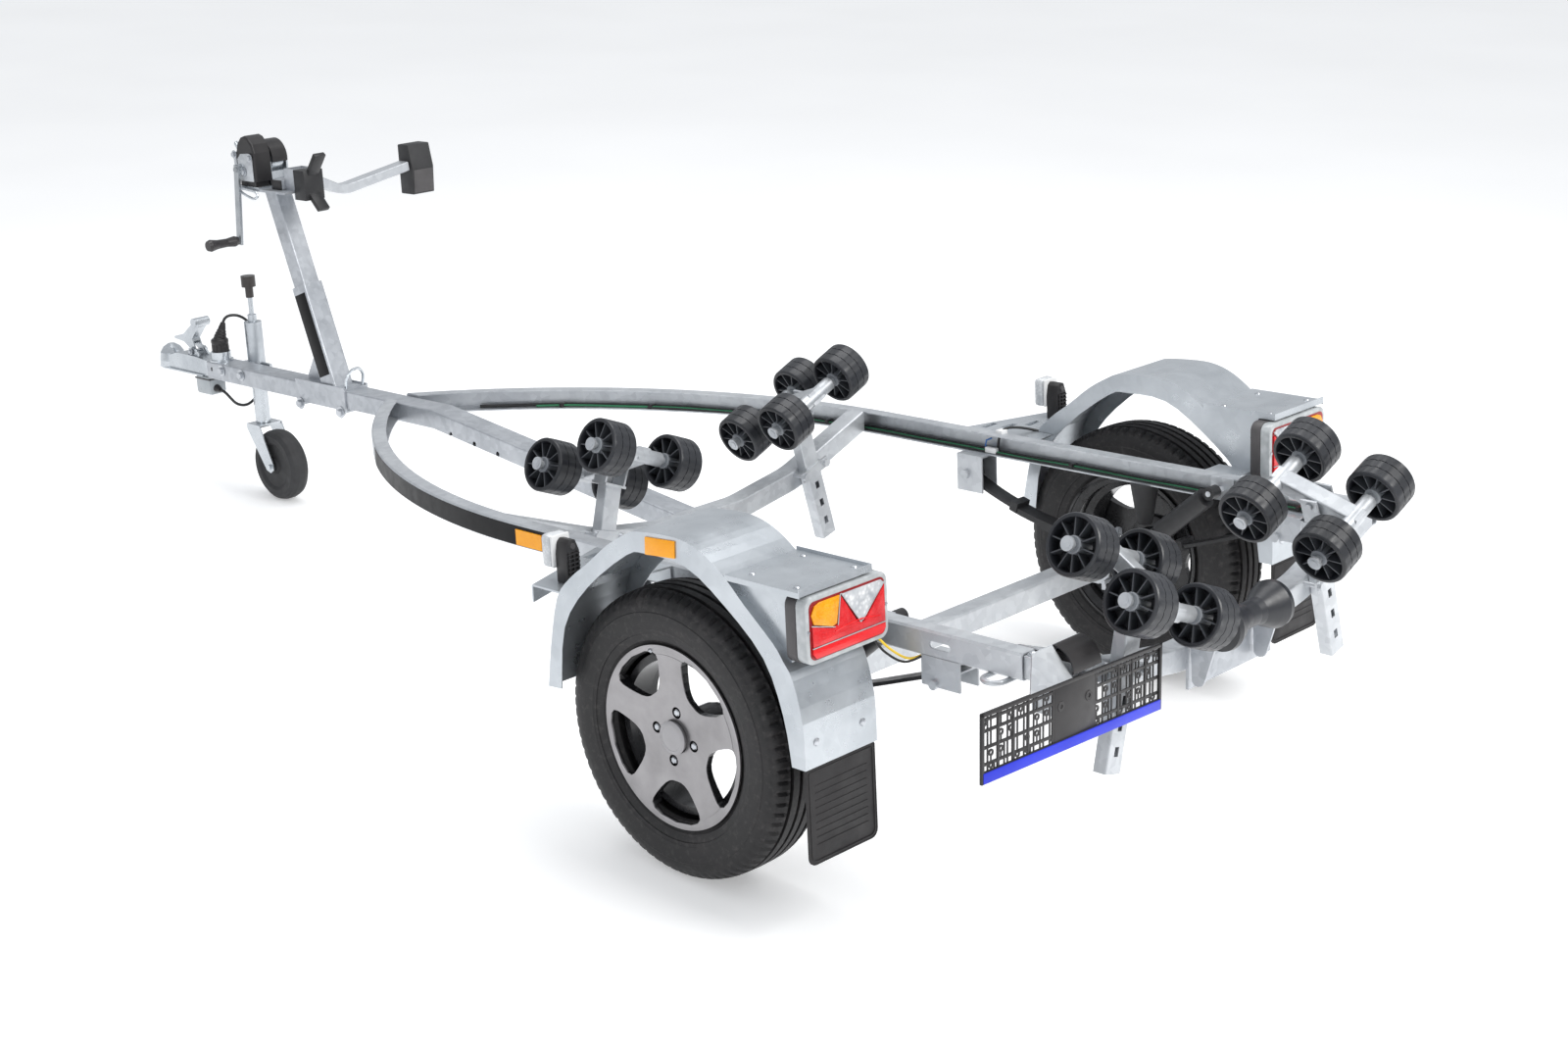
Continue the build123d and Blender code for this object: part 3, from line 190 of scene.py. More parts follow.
WHITE_PLASTIC = plastic("white_plastic", (0.66, 0.66, 0.66), (0.82, 0.82, 0.82), 0.35, 0.5, 60, 0.05)
GREY_PLASTIC = plastic("grey_plastic", (0.36, 0.39, 0.41), (0.50, 0.53, 0.55), 0.25, 0.38, 60, 0.04)
BLUE_PLASTIC = plastic("blue_plastic", (0.018, 0.030, 0.50), (0.028, 0.045, 0.62), 0.30, 0.42, 60, 0.04, 0.3)
BLUE_TIE = plastic("blue_tie", (0.05, 0.16, 0.45), (0.08, 0.22, 0.55), 0.30, 0.42, 60, 0.04)
STICKER = plastic("black_sticker", (0.004, 0.004, 0.005), (0.009, 0.009, 0.010), 0.34, 0.46, 30, 0.03, 0.14)


def lens(name, dark, light, rough=0.12, cells=320.0, bumpy=0.35, coat=0.45):
    """Moulded lamp lens: small prisms under a glossy surface."""
    m, nt, b = new_mat(name)
    v = voronoi(nt, cells)
    n = noise(nt, 40.0, 3.0)
    a = ramp(nt, v.outputs["Distance"], [(0.0, light), (0.55, dark)])
    c = ramp(nt, n.outputs["Fac"], [(0.3, dark), (0.7, light)])
    nt.links.new(mix(nt, 0.5, a, c), b.inputs["Base Color"])
    bump(nt, b, v.outputs["Distance"], bumpy, 0.0012)
    b.inputs["Roughness"].default_value = rough
    b.inputs["Coat Weight"].default_value = coat
    b.inputs["Specular IOR Level"].default_value = 0.35
    b.inputs["Coat Roughness"].default_value = 0.05
    return m


AMBER = lens("amber_lens", (0.80, 0.27, 0.0), (1.0, 0.46, 0.02), coat=0.3)
AMBER_FLAT = lens("amber_reflector", (0.90, 0.33, 0.0), (1.0, 0.44, 0.005), 0.25, 500.0, 0.15, 0.1)
RED = lens("red_lens", (0.55, 0.008, 0.012), (0.82, 0.03, 0.035))
RED_DEEP = lens("red_reflector", (0.70, 0.006, 0.01), (0.86, 0.02, 0.025), 0.15, 520.0, 0.2)
CLEAR = lens("clear_lens", (0.45, 0.47, 0.49), (0.80, 0.81, 0.82), 0.10, 170.0, 0.5)
LED = lens("led_lens", (0.35, 0.37, 0.40), (0.90, 0.90, 0.90), 0.10, 110.0, 0.9)
FROST = lens("frosted_edge", (0.36, 0.38, 0.39), (0.55, 0.57, 0.58), 0.18, 60.0, 0.05)


def tyre_mat():
    m, nt, b = new_mat("tyre_rubber")
    n1 = noise(nt, 12.0, 5.0, 0.6)
    base = ramp(nt, n1.outputs["Fac"], [(0.28, (0.008, 0.008, 0.008)), (0.55, (0.015, 0.014, 0.015)), (0.78, (0.034, 0.031, 0.031))])
    n2 = noise(nt, 70.0, 4.0, 0.7)
    dust = ramp(nt, n2.outputs["Fac"], [(0.52, (0.0, 0.0, 0.0)), (0.74, (0.030, 0.027, 0.026))])
    nt.links.new(mix(nt, 1.0, base, dust, 'ADD'), b.inputs["Base Color"])
    nt.links.new(maprange(nt, n1.outputs["Fac"], 0.3, 0.7, 0.48, 0.62), b.inputs["Roughness"])
    n3 = noise(nt, 420.0, 3.0)
    bump(nt, b, n3.outputs["Fac"], 0.18, 0.001)
    b.inputs["Specular IOR Level"].default_value = 0.38
    return m


TYRE = tyre_mat()


def rim_mat():
    """Machined grey face with a fine noise bump; everything behind the face is black."""
    m, nt, b = new_mat("alloy_rim")
    tc = nt.nodes.new("ShaderNodeTexCoord")
    sep = nt.nodes.new("ShaderNodeSeparateXYZ")
    nt.links.new(tc.outputs["Object"], sep.inputs["Vector"])
    centre = M @ Vector((0, 0, 0))

    def math_node(op, a, b):
        n = nt.nodes.new("ShaderNodeMath")
        n.operation = op
        for k, v in enumerate((a, b)):
            if v is None:
                continue
            if isinstance(v, float):
                n.inputs[k].default_value = v
            else:
                nt.links.new(v, n.inputs[k])
        return n.outputs["Value"]
    dx = math_node('SUBTRACT', sep.outputs["X"], float(centre.x))
    dz = math_node('SUBTRACT', sep.outputs["Z"], float(centre.z))
    rad = math_node('SQRT', math_node('ADD', math_node('MULTIPLY', dx, dx), math_node('MULTIPLY', dz, dz)), None)
    limit = maprange(nt, rad, 0.085, 0.163, 0.7668, 0.7738)
    over = math_node('SUBTRACT', math_node('ABSOLUTE', sep.outputs["Y"], None), limit)
    face = maprange(nt, over, -0.0002, 0.0003, 0.0, 1.0)
    n1 = noise(nt, 14.0, 4.0)
    tone = ramp(nt, n1.outputs["Fac"], [(0.3, (0.27, 0.262, 0.268)), (0.7, (0.36, 0.35, 0.358))])
    n2 = noise(nt, 30.0, 3.0)
    black = ramp(nt, n2.outputs["Fac"], [(0.3, (0.010, 0.010, 0.011)), (0.7, (0.03, 0.03, 0.032))])
    nt.links.new(mix(nt, face, black, tone), b.inputs["Base Color"])
    nt.links.new(maprange(nt, face, 0.0, 1.0, 0.22, 0.36), b.inputs["Roughness"])
    nt.links.new(maprange(nt, face, 0.0, 1.0, 0.25, 0.9), b.inputs["Metallic"])
    n3 = noise(nt, 260.0, 2.0)
    bump(nt, b, n3.outputs["Fac"], 0.03, 0.001)
    return m


RIM = rim_mat()


def split_mat(name, axis, limit, below, above, absolute=False, metal_below=0.85, metal_above=0.0):
    """Two finishes on one solid, parted at a plane across the solid."""
    m, nt, b = new_mat(name)
    tc = nt.nodes.new("ShaderNodeTexCoord")
    sep = nt.nodes.new("ShaderNodeSeparateXYZ")
    nt.links.new(tc.outputs["Object"], sep.inputs["Vector"])
    src = sep.outputs[axis]
    f = maprange(nt, src, limit - 0.0004, limit + 0.0004, 0.0, 1.0)
    n1 = noise(nt, 12.0, 4.0)
    lo = ramp(nt, n1.outputs["Fac"], [(0.3, below[0]), (0.7, below[1])])
    hi = ramp(nt, n1.outputs["Fac"], [(0.3, above[0]), (0.7, above[1])])
    nt.links.new(mix(nt, f, lo, hi), b.inputs["Base Color"])
    nt.links.new(maprange(nt, f, 0.0, 1.0, metal_below, metal_above), b.inputs["Metallic"])
    n2 = noise(nt, 25.0, 4.0)
    nt.links.new(maprange(nt, n2.outputs["Fac"], 0.3, 0.7, 0.26, 0.40), b.inputs["Roughness"])
    n3 = noise(nt, 200.0, 3.0)
    bump(nt, b, n3.outputs["Fac"], 0.05, 0.001)
    return m


CRANK_MAT = split_mat("crank_finish", "Y", 0.0802, ((0.34, 0.36, 0.38), (0.50, 0.52, 0.54)), ((0.022, 0.020, 0.021), (0.04, 0.036, 0.037)))
JOCKEY_MAT = split_mat("jockey_finish", "Z", 0.558, ((0.40, 0.43, 0.46), (0.58, 0.61, 0.64)), ((0.024, 0.020, 0.019), (0.045, 0.038, 0.035)))

CAD_MATS = {
    "drawbar": GALV, "rail_left": GALV_LIGHT, "rail_right": GALV_LIGHT, "front_cross_member": GALV_LIGHT,
    "rear_cross_member": GALV_LIGHT, "keel_bracket": GALV, "axle_beam": GALV_LIGHT, "leaf_springs": BLACK_STEEL,
    "spring_clamps": GALV, "bump_stops": RUBBER, "shock_absorbers": BLACK_STEEL, "mudguard_left": SHEET,
    "mudguard_right": SHEET, "mudguard_supports": SHEET, "plate_lamp": BLACK_PLASTIC, "roller_posts": GALV_LIGHT,
    "winch_post_sleeve": GALV, "winch_post": GALV, "winch_frame": ZINC, "winch_covers": BLACK_PLASTIC,
    "bow_stop": BLACK_STEEL, "side_arm": GALV_LIGHT, "side_arm_pad": RUBBER, "coupling_head": ZINC, "plug_holder": ZINC,
    "plug": BLACK_PLASTIC, "plug_lead": CABLE_BLACK, "socket_lead": CABLE_BLACK, "socket_box": GREY_PLASTIC,
    "jockey_tube": JOCKEY_MAT, "wiring_harness": CABLE_BLACK, "tyre_left": TYRE, "tyre_right": TYRE, "rim_left": RIM,
    "rim_right": RIM, "jockey_leg": ZINC, "jockey_fork": ZINC, "jockey_wheel": RUBBER, "coupling_lever": ZINC,
    "winch_drum": ZINC, "winch_crank": CRANK_MAT, "keel_roller": ROLLER_MAT, "tail_lamps": RED, "position_lamps": CLEAR,
    "plate_holder": BLACK_PLASTIC, "mudflaps": FLAP_MAT,
}
for name, ob in N.items():
    mat = CAD_MATS.get(name)
    if mat is None:
        mat = ROLLER_MAT if name.startswith("rollers") else GALV_LIGHT
    if not ob.material_slots:
        ob.data.materials.append(mat)
    for sl in ob.material_slots:
        sl.material = mat


# ------------------------------------------------------------------ mesh builder
class Build:
    """Collects parts in level-frame millimetres and writes them as one mesh piece."""

    def __init__(self, name, body, slot=None):
        self.name, self.body, self.slot = name, body, slot
        self.bm = bmesh.new()
        self.mats = []

    def mat(self, m):
        if m not in self.mats:
            self.mats.append(m)
        return self.mats.index(m)

    def raw(self, verts, faces, m, xf=None):
        mi = self.mat(m)
        vs = [self.bm.verts.new(Vector(v) if xf is None else xf @ Vector(v)) for v in verts]
        for f in faces:
            try:
                fc = self.bm.faces.new([vs[i] for i in f])
                fc.material_index = mi
            except ValueError:
                pass
        return vs

    def box(self, x0, x1, y0, y1, z0, z1, m, xf=None, bevel=0.0):
        b = min(bevel, abs(x1 - x0) / 2.01, abs(y1 - y0) / 2.01, abs(z1 - z0) / 2.01)
        if b <= 0:
            v = [(x, y, z) for x in (x0, x1) for y in (y0, y1) for z in (z0, z1)]
            f = [(0, 1, 3, 2), (4, 6, 7, 5), (0, 4, 5, 1), (2, 3, 7, 6), (0, 2, 6, 4), (1, 5, 7, 3)]
            self.raw(v, f, m, xf)
            return
        tmp = bmesh.new()
        bmesh.ops.create_cube(tmp, size=1.0)
        for q in tmp.verts:
            q.co = Vector(((x0 + x1) / 2 + q.co.x * (x1 - x0), (y0 + y1) / 2 + q.co.y * (y1 - y0), (z0 + z1) / 2 + q.co.z * (z1 - z0)))
        bmesh.ops.bevel(tmp, geom=tmp.edges[:], offset=b, segments=2, affect='EDGES', profile=0.5)
        tmp.verts.index_update()
        self.raw([q.co.copy() for q in tmp.verts], [[q.index for q in fc.verts] for fc in tmp.faces], m, xf)
        tmp.free()

    def lathe(self, prof, origin, axis, m, seg=40, closed=False, side=None, xf=None):
        """prof: (along, radius) points; closed joins last to first."""
        a = Vector(axis).normalized()
        s = Vector(side) if side else (Vector((0, 0, 1)) if abs(a.z) < 0.9 else Vector((1, 0, 0)))
        s = (s - a * s.dot(a)).normalized()
        t = a.cross(s)
        o = Vector(origin)
        rows = []
        mi = self.mat(m)
        for (l, r) in prof:
            if r < 1e-6:
                p = o + a * l
                rows.append([self.bm.verts.new(p if xf is None else xf @ p)])
            else:
                row = []
                for k in range(seg):
                    w = 2 * pi * k / seg
                    p = o + a * l + (s * cos(w) + t * sin(w)) * r
                    row.append(self.bm.verts.new(p if xf is None else xf @ p))
                rows.append(row)
        pairs = list(zip(rows[:-1], rows[1:]))
        if closed:
            pairs.append((rows[-1], rows[0]))
        for A, B in pairs:
            for k in range(seg):
                k2 = (k + 1) % seg
                if len(A) == 1 and len(B) == 1:
                    continue
                if len(A) == 1:
                    q = [A[0], B[k], B[k2]]
                elif len(B) == 1:
                    q = [A[k], B[0], A[k2]]
                else:
                    q = [A[k], B[k], B[k2], A[k2]]
                try:
                    fc = self.bm.faces.new(q)
                    fc.material_index = mi
                except ValueError:
                    pass

    def cyl(self, p, q, r, m, seg=24, bevel=0.0, xf=None):
        p, q = Vector(p), Vector(q)
        L = (q - p).length
        b = min(bevel, r * 0.6, L * 0.45)
        prof = [(0, 0), (0, r - b), (b, r), (L - b, r), (L, r - b), (L, 0)] if b > 0 else [(0, 0), (0, r), (L, r), (L, 0)]
        self.lathe(prof, p, q - p, m, seg, xf=xf)

    def hexbolt(self, p, direction, af, h, m, washer=True, xf=None):
        """Hexagon head with washer and domed end, standing on p."""
        d = Vector(direction).normalized()
        o = Vector(p)
        if washer:
            self.lathe([(0, 0), (0, af * 0.86), (0.6, af * 0.92), (1.8, af * 0.92), (2.0, af * 0.6), (2.0, 0)], o, d, m, 24, xf=xf)
            o = o + d * 2.0
        r = af / sqrt(3)
        self.lathe([(0, 0), (0, r), (h * 0.8, r), (h, r * 0.84), (h, 0)], o, d, m, 6, xf=xf)

    def prism(self, pts, a0, a1, plane, m, xf=None, bevel=0.0):
        """Extruded outline. plane xz: points (x,z) along y, yz: (y,z) along x, xy: (x,y) along z."""
        def P(u, v, w):
            return {"xz": (u, w, v), "yz": (w, u, v), "xy": (u, v, w)}[plane]
        tmp = bmesh.new()
        lo = [tmp.verts.new(P(u, v, a0)) for u, v in pts]
        hi = [tmp.verts.new(P(u, v, a1)) for u, v in pts]
        n = len(pts)
        tmp.faces.new(lo); tmp.faces.new(hi[::-1])
        for k in range(n):
            tmp.faces.new([lo[k], hi[k], hi[(k + 1) % n], lo[(k + 1) % n]])
        bmesh.ops.recalc_face_normals(tmp, faces=tmp.faces[:])
        if bevel > 0:
            ed = [e for e in tmp.edges if e.calc_face_angle(0) > 0.6]
            bmesh.ops.bevel(tmp, geom=ed, offset=bevel, segments=2, affect='EDGES', profile=0.5)
        tmp.verts.index_update()
        self.raw([q.co.copy() for q in tmp.verts], [[q.index for q in fc.verts] for fc in tmp.faces], m, xf)
        tmp.free()

    def tube(self, pts, r, m, seg=10, caps=True):
        """Round tube along a list of points."""
        vs = [Vector(p) for p in pts]
        mi = self.mat(m)
        t0 = (vs[1] - vs[0]).normalized()
        s = Vector((0, 0, 1)) if abs(t0.z) < 0.9 else Vector((1, 0, 0))
        rows = []
        for i, p in enumerate(vs):
            a = vs[max(i - 1, 0)]; b = vs[min(i + 1, len(vs) - 1)]
            t = (b - a).normalized()
            s = (s - t * s.dot(t)).normalized()
            u = t.cross(s)
            rows.append([self.bm.verts.new(p + (s * cos(2 * pi * k / seg) + u * sin(2 * pi * k / seg)) * r) for k in range(seg)])
        for A, B in zip(rows[:-1], rows[1:]):
            for k in range(seg):
                k2 = (k + 1) % seg
                fc = self.bm.faces.new([A[k], A[k2], B[k2], B[k]])
                fc.material_index = mi
        if caps:
            self.bm.faces.new(rows[0][::-1]).material_index = mi
            self.bm.faces.new(rows[-1]).material_index = mi

    def done(self, replaces=(), sharp=32.0, recalc=True):
        bm = self.bm
        if recalc:
            bmesh.ops.recalc_face_normals(bm, faces=bm.faces[:])
        for f in bm.faces:
            f.smooth = True
        for e in bm.edges:
            if len(e.link_faces) == 2:
                e.smooth = e.calc_face_angle(0) < radians(sharp)
        me = bpy.data.meshes.new(self.name)
        bm.to_mesh(me)
        bm.free()
        me.transform(M)
        for m in self.mats:
            me.materials.append(m)
        ob = bpy.data.objects.new(self.name, me)
        scene.collection.objects.link(ob)
        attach(ob, self.body)
        if replaces:
            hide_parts(*replaces)
        return ob


def smooth_path(pts, steps=8):
    """Catmull-Rom points through the list, for held wires."""
    vs = [Vector(p) for p in pts]
    out = []
    for i in range(len(vs) - 1):
        p0 = vs[max(i - 1, 0)]; p1 = vs[i]; p2 = vs[i + 1]; p3 = vs[min(i + 2, len(vs) - 1)]
        for k in range(steps):
            t = k / steps
            out.append(0.5 * ((2 * p1) + (p2 - p0) * t + (2 * p0 - 5 * p1 + 4 * p2 - p3) * t * t + (3 * p1 - p0 - 3 * p2 + p3) * t ** 3))
    out.append(vs[-1])
    return out


# ------------------------------------------------------------------------- tyres
def tyre(side, name):
    """Grid of profile points by angle: grooves, shoulder sipes and sidewall rings are real relief."""
    y0 = 714.5
    B = Build("tyre_skin_" + name, "wheel_" + name, "tyre")
    mi = B.mat(TYRE)
    # outer contour (offset from the middle plane, radius), outboard positive
    side_out = [(47, 166.3), (53.4, 168.6), (55.8, 176), (56.2, 182), (59.5, 188), (61.8, 190), (63.2, 194), (65.5, 199),
                (66.8, 204), (68.9, 205.0), (69.9, 212), (70.6, 213), (71.2, 222), (72.4, 230), (72.5, 238), (72.3, 246),
                (71.0, 247.5), (70.2, 254), (68.8, 259), (67.6, 262), (66.2, 265)]
    tread = [(64.5, 268.5), (62.5, 272), (60, 275), (57, 277.6), (54, 279.6), (50, 281.6), (46, 283.0), (42, 283.9), (38.2, 284.6),
             (37.9, 277.5), (30.4, 278), (30.0, 285.2), (22, 285.6), (14.6, 285.8), (14.2, 278.5), (7.0, 278.6), (6.6, 286), (0, 286)]
    outer = side_out + tread
    prof = outer + [(-u, r) for u, r in outer[::-1][1:]]
    prof += [(-40, 168), (-40, 176), (0, 180), (40, 176), (40, 168)]
    seg = 312
    n_out = len(prof) - 5
    rows = []
    for k in range(seg):
        w = 2 * pi * k / seg
        row = []
        for i, (u, r) in enumerate(prof):
            rr = r
            if i < n_out:
                a = abs(u)
                ph = k % 4
                if 39 < a < 68 and r > 262 and ph == 0:
                    rr = r - (4.5 if a < 58 else 2.6)
                elif 8 < a < 13.8 and r > 284 and (k + 2) % 6 == 0:
                    rr = r - 2.4
                elif 23 < a < 29.5 and r > 284 and k % 6 == 0:
                    rr = r - 2.4
            row.append(B.bm.verts.new((rr * cos(w), side * (y0 + u), rr * sin(w))))
        rows.append(row)
    m_ = len(prof)
    for k in range(seg):
        A, C = rows[k], rows[(k + 1) % seg]
        for i in range(m_):
            j = (i + 1) % m_
            B.bm.faces.new([A[i], A[j], C[j], C[i]]).material_index = mi
    B.done(replaces=["tyre_" + name], sharp=28.0)


tyre(+1, "left")
tyre(-1, "right")


def rim_extras(side, name):
    B = Build("rim_fittings_" + name, "wheel_" + name, "zinc_bright")
    s = side
    # cap with a raised ring, lug bolts in their pockets, valve
    B.lathe([(0, 33.5), (1.5, 33.5), (3.6, 31), (4.4, 27), (4.9, 25.5), (4.2, 24.5), (5.6, 14), (6.2, 0)], (0, s * 775.4, 0), (0, s, 0), CAP, 48)
    for k in range(4):
        a = radians(9 + 90 * k)
        c = (50 * cos(a), s * 762.0, 50 * sin(a))
        B.lathe([(0, 0), (0, 7.6), (6.5, 7.2), (8.2, 5.6), (8.2, 0)], (c[0], s * 761.6, c[2]), (0, s, 0), BOLT, 6)
    # inboard drum of the wheel bearing, seen through the windows
    B.lathe([(0, 60), (4, 62), (9, 62), (10, 40)], (0, s * 746, 0), (0, s, 0), BLACK_STEEL, 40)
    a = radians(75)
    d = Vector((cos(a), 0, sin(a)))
    p = Vector((0, s * 763, 0)) + d * 156
    B.cyl(p, p + Vector((0, s * 12, 0)) + d * 12, 3.6, RUBBER, 12, 0.8)
    B.cyl(p + Vector((0, s * 12, 0)) + d * 12, p + Vector((0, s * 17, 0)) + d * 17, 3.9, BOLT, 12, 0.8)
    B.done()


CAP = plastic("cap_silver", (0.34, 0.33, 0.34), (0.42, 0.41, 0.42), 0.28, 0.38, 60, 0.03)
# black disc finish: painted shade standing in for the dark inside of a hole
HOLE_SHADE = plastic("painted_hole_shade", (0.012, 0.012, 0.013), (0.03, 0.03, 0.03), 0.3, 0.4, 60, 0.03)
rim_extras(+1, "left")
rim_extras(-1, "right")


# ----------------------------------------------------------------------- rollers
CRADLES = {"fl": (+1, 677.0, 282.0, 312.0, -0.407), "fr": (-1, 677.0, 282.0, 332.0, -0.366),
           "rl": (+1, -722.0, 282.0, 314.0, 0.474), "rr": (-1, -722.0, 282.0, 335.0, 0.400)}
GAM = radians(22.2)


def cradle_axes(name):
    s, px, py, pz, p = CRADLES[name]
    t = Vector((0, s * cos(GAM), sin(GAM)))
    n = Vector((0, -s * sin(GAM), cos(GAM)))
    fwd = Vector((cos(p), 0, 0)) + n * sin(p)
    return s, Vector((px, s * py, pz)), t, n, fwd


def roller_set(cr, which):
    s, P, t, n, fwd = cradle_axes(cr)
    c = P + fwd * (81.5 if which == "front" else -81.5)
    nm = "rollers_%s_%s" % (cr, which)
    B = Build("ribbed_" + nm, nm, "black_rubber")
    for f in (-1, 1):
        o = c + t * (f * 101.0)
        # tyre of the roller: grooved tread and rolled edges, open wheel inside
        prof = [(-33, 50.5), (-33.4, 54), (-32.4, 56.6), (-30, 58.3), (-28.5, 58.8), (-11.4, 59), (-11, 57.2), (-9.8, 57.2), (-9.4, 59),
                (9.4, 59), (9.8, 57.2), (11, 57.2), (11.4, 59), (28.5, 58.8), (30, 58.3), (32.4, 56.6), (33.4, 54), (33, 50.5),
                (30, 49.5), (5, 48), (4, 24), (-4, 24), (-5, 48), (-30, 49.5)]
        seg = 64
        axis = t
        ref = fwd
        u = axis.cross(ref)
        mi = B.mat(ROLLER_MAT)
        rows = []
        for k in range(seg):
            w = 2 * pi * k / seg
            row = []
            for (a, r) in prof:
                rr = r - (1.6 if (k % 4 == 0 and r > 58.5) else 0.0)
                row.append(B.bm.verts.new(o + axis * a + (ref * cos(w) + u * sin(w)) * rr))
            rows.append(row)
        for k in range(seg):
            A, C = rows[k], rows[(k + 1) % seg]
            for i in range(len(prof)):
                j = (i + 1) % len(prof)
                B.bm.faces.new([A[i], A[j], C[j], C[i]]).material_index = mi
        # hub sleeve and ten thin spokes on each face
        B.lathe([(-32.5, 8.6), (-32.5, 15), (-31, 17), (31, 17), (32.5, 15), (32.5, 8.6)], o, t, HUB_GREY, 32, closed=True, side=ref)
        for k in range(10):
            w = 2 * pi * (k + 0.5) / 10
            d = ref * cos(w) + u * sin(w)
            e = axis.cross(d)
            rot = Matrix((d, e, axis)).transposed().to_4x4()
            rot.translation = o
            B.box(16, 49.5, -1.2, 1.2, -29.5, 29.5, SPOKE_GREY, xf=rot)
    B.done(replaces=[nm])


HUB_GREY = plastic("roller_hub", (0.15, 0.16, 0.18), (0.27, 0.29, 0.31), 0.35, 0.5, 60, 0.05)
SPOKE_GREY = plastic("roller_spoke", (0.035, 0.038, 0.045), (0.075, 0.08, 0.09), 0.35, 0.5, 60, 0.05)
for cr in CRADLES:
    roller_set(cr, "front")
    roller_set(cr, "rear")


# -------------------------------------------------------------------- tail lamps
def tail_lamp(side, name):
    B = Build("lamp_body_" + name, "frame", "lamp_red")
    s = side
    Y0, Y1, Z0, Z1 = 605.0, 818.0, 238.0, 363.5

    def P(u, v):
        """u from the outer end (0) to the inner end (1), v from the top (0) to the bottom (1)"""
        return (s * (Y1 + (Y0 - Y1) * u), Z1 + (Z0 - Z1) * v)

    def rrect(u0, u1, v0, v1, r, n=6):
        W, H = 213.0, 125.5
        x0, x1, y0, y1 = u0 * W, u1 * W, v0 * H, v1 * H
        out = []
        for cx, cy, a0 in ((x1 - r, y0 + r, -90), (x1 - r, y1 - r, 0), (x0 + r, y1 - r, 90), (x0 + r, y0 + r, 180)):
            for k in range(n + 1):
                a = radians(a0 + 90 * k / n)
                out.append(((cx + r * cos(a)) / W, (cy + r * sin(a)) / H))
        return out
    outline = [P(*q) for q in rrect(0, 1, 0, 1, 20)]
    B.prism(outline, -378, -354.3, "yz", GREY_HOUSING, bevel=1.2)
    B.prism([P(*q) for q in rrect(0.004, 0.996, 0.006, 0.994, 19)], -402.5, -378, "yz", FROST, bevel=2.5)
    B.prism([P(*q) for q in rrect(0.045, 0.955, 0.075, 0.925, 13)], -403.4, -402, "yz", DARK_RED)

    def patch(pts, m, x=-406.5, bev=1.0):
        B.prism([P(*q) for q in pts], x, -403.2, "yz", m, bevel=bev)
    amber = [(0.06, 0.26), (0.10, 0.14), (0.16, 0.105), (0.40, 0.105), (0.355, 0.50), (0.30, 0.52), (0.085, 0.40)]
    clear = [(0.425, 0.105), (0.90, 0.105), (0.935, 0.16), (0.675, 0.60), (0.62, 0.56)]
    red_l = [(0.065, 0.42), (0.30, 0.545), (0.375, 0.52), (0.415, 0.12), (0.60, 0.58), (0.66, 0.625), (0.70, 0.60), (0.94, 0.19),
             (0.94, 0.73), (0.07, 0.73)]
    band = [(0.065, 0.755), (0.94, 0.755), (0.94, 0.83), (0.90, 0.90), (0.10, 0.90), (0.065, 0.83)]
    patch(amber, AMBER)
    patch(clear, LED)
    patch(red_l, RED)
    patch(band, RED_DEEP, -407.2)
    # ribs between the fields and a shallow curved highlight bar in the red field
    for a, b in (((0.405, 0.09), (0.365, 0.53)), ((0.415, 0.09), (0.64, 0.61)), ((0.64, 0.61), (0.95, 0.13)), ((0.055, 0.41), (0.33, 0.54)), ((0.06, 0.742), (0.945, 0.742))):
        pa, pb = P(*a), P(*b)
        B.tube([(-406.6, pa[0], pa[1]), (-406.6, pb[0], pb[1])], 1.0, FROST, 8)
    arc = [P(0.33 + 0.55 * k / 10, 0.60 - 0.05 * sin(pi * k / 10) + 0.03 * k / 10) for k in range(11)]
    B.tube([(-406.3, y, z) for y, z in arc], 1.6, RED_DEEP, 8)
    # fixing screws
    for q in ((0.03, 0.5), (0.97, 0.5)):
        y, z = P(*q)
        B.lathe([(0, 0), (0, 4), (1.6, 3.2), (1.8, 0)], (-402.5, y, z), (-1, 0, 0), BOLT, 14)
    return B


GREY_HOUSING = plastic("lamp_housing", (0.045, 0.042, 0.044), (0.085, 0.08, 0.082), 0.4, 0.55, 60, 0.06)
DARK_RED = lens("deep_red_back", (0.22, 0.004, 0.006), (0.34, 0.01, 0.012), 0.3, 300.0, 0.1)
Bl = tail_lamp(+1, "left")
Bl.done()
Br = tail_lamp(-1, "right")
ob = Br.done(replaces=["tail_lamps"])


# --------------------------------------------------------------- position lamps
def position_lamp(side, name):
    s = side
    B = Build("marker_lamp_" + name, "frame", "lamp_clear")
    y0, y1 = 736.0, 784.0
    ys = sorted((s * y0, s * y1))
    # clear lens in front, black ribbed bracket behind
    B.box(306, 333, ys[0], ys[1], 277, 343, CLEAR, bevel=8)
    B.box(300, 306.5, ys[0] + 1, ys[1] - 1, 278, 342, WHITE_PLASTIC, bevel=3)
    c = s * 759.0
    B.prism([(c - 17, 250.2), (c + 17, 250.2), (c + 17, 306), (c + 12, 330), (c + 4, 337), (c - 8, 335), (c - 17, 312)], 268, 300, "yz", BLACK_PLASTIC, bevel=1.5)
    for k in range(7):
        z = 256 + k * 8.5
        B.box(263.5, 268.5, c - 14, c + 14, z, z + 3.0, BLACK_PLASTIC, bevel=0.6)
    for k in range(3):
        yy = c - 11 + k * 11
        B.box(264.5, 268.5, yy - 1.2, yy + 1.2, 254, 312, BLACK_PLASTIC, bevel=0.4)
    B.lathe([(0, 0), (0, 6.5), (2.5, 5.5), (3, 0)], (268, c, 323), (-1, 0, 0), GREY_HOUSING, 18)
    return B


Pl = position_lamp(+1, "left"); Pl.done()
Pr = position_lamp(-1, "right"); Pr.done(replaces=["position_lamps"])


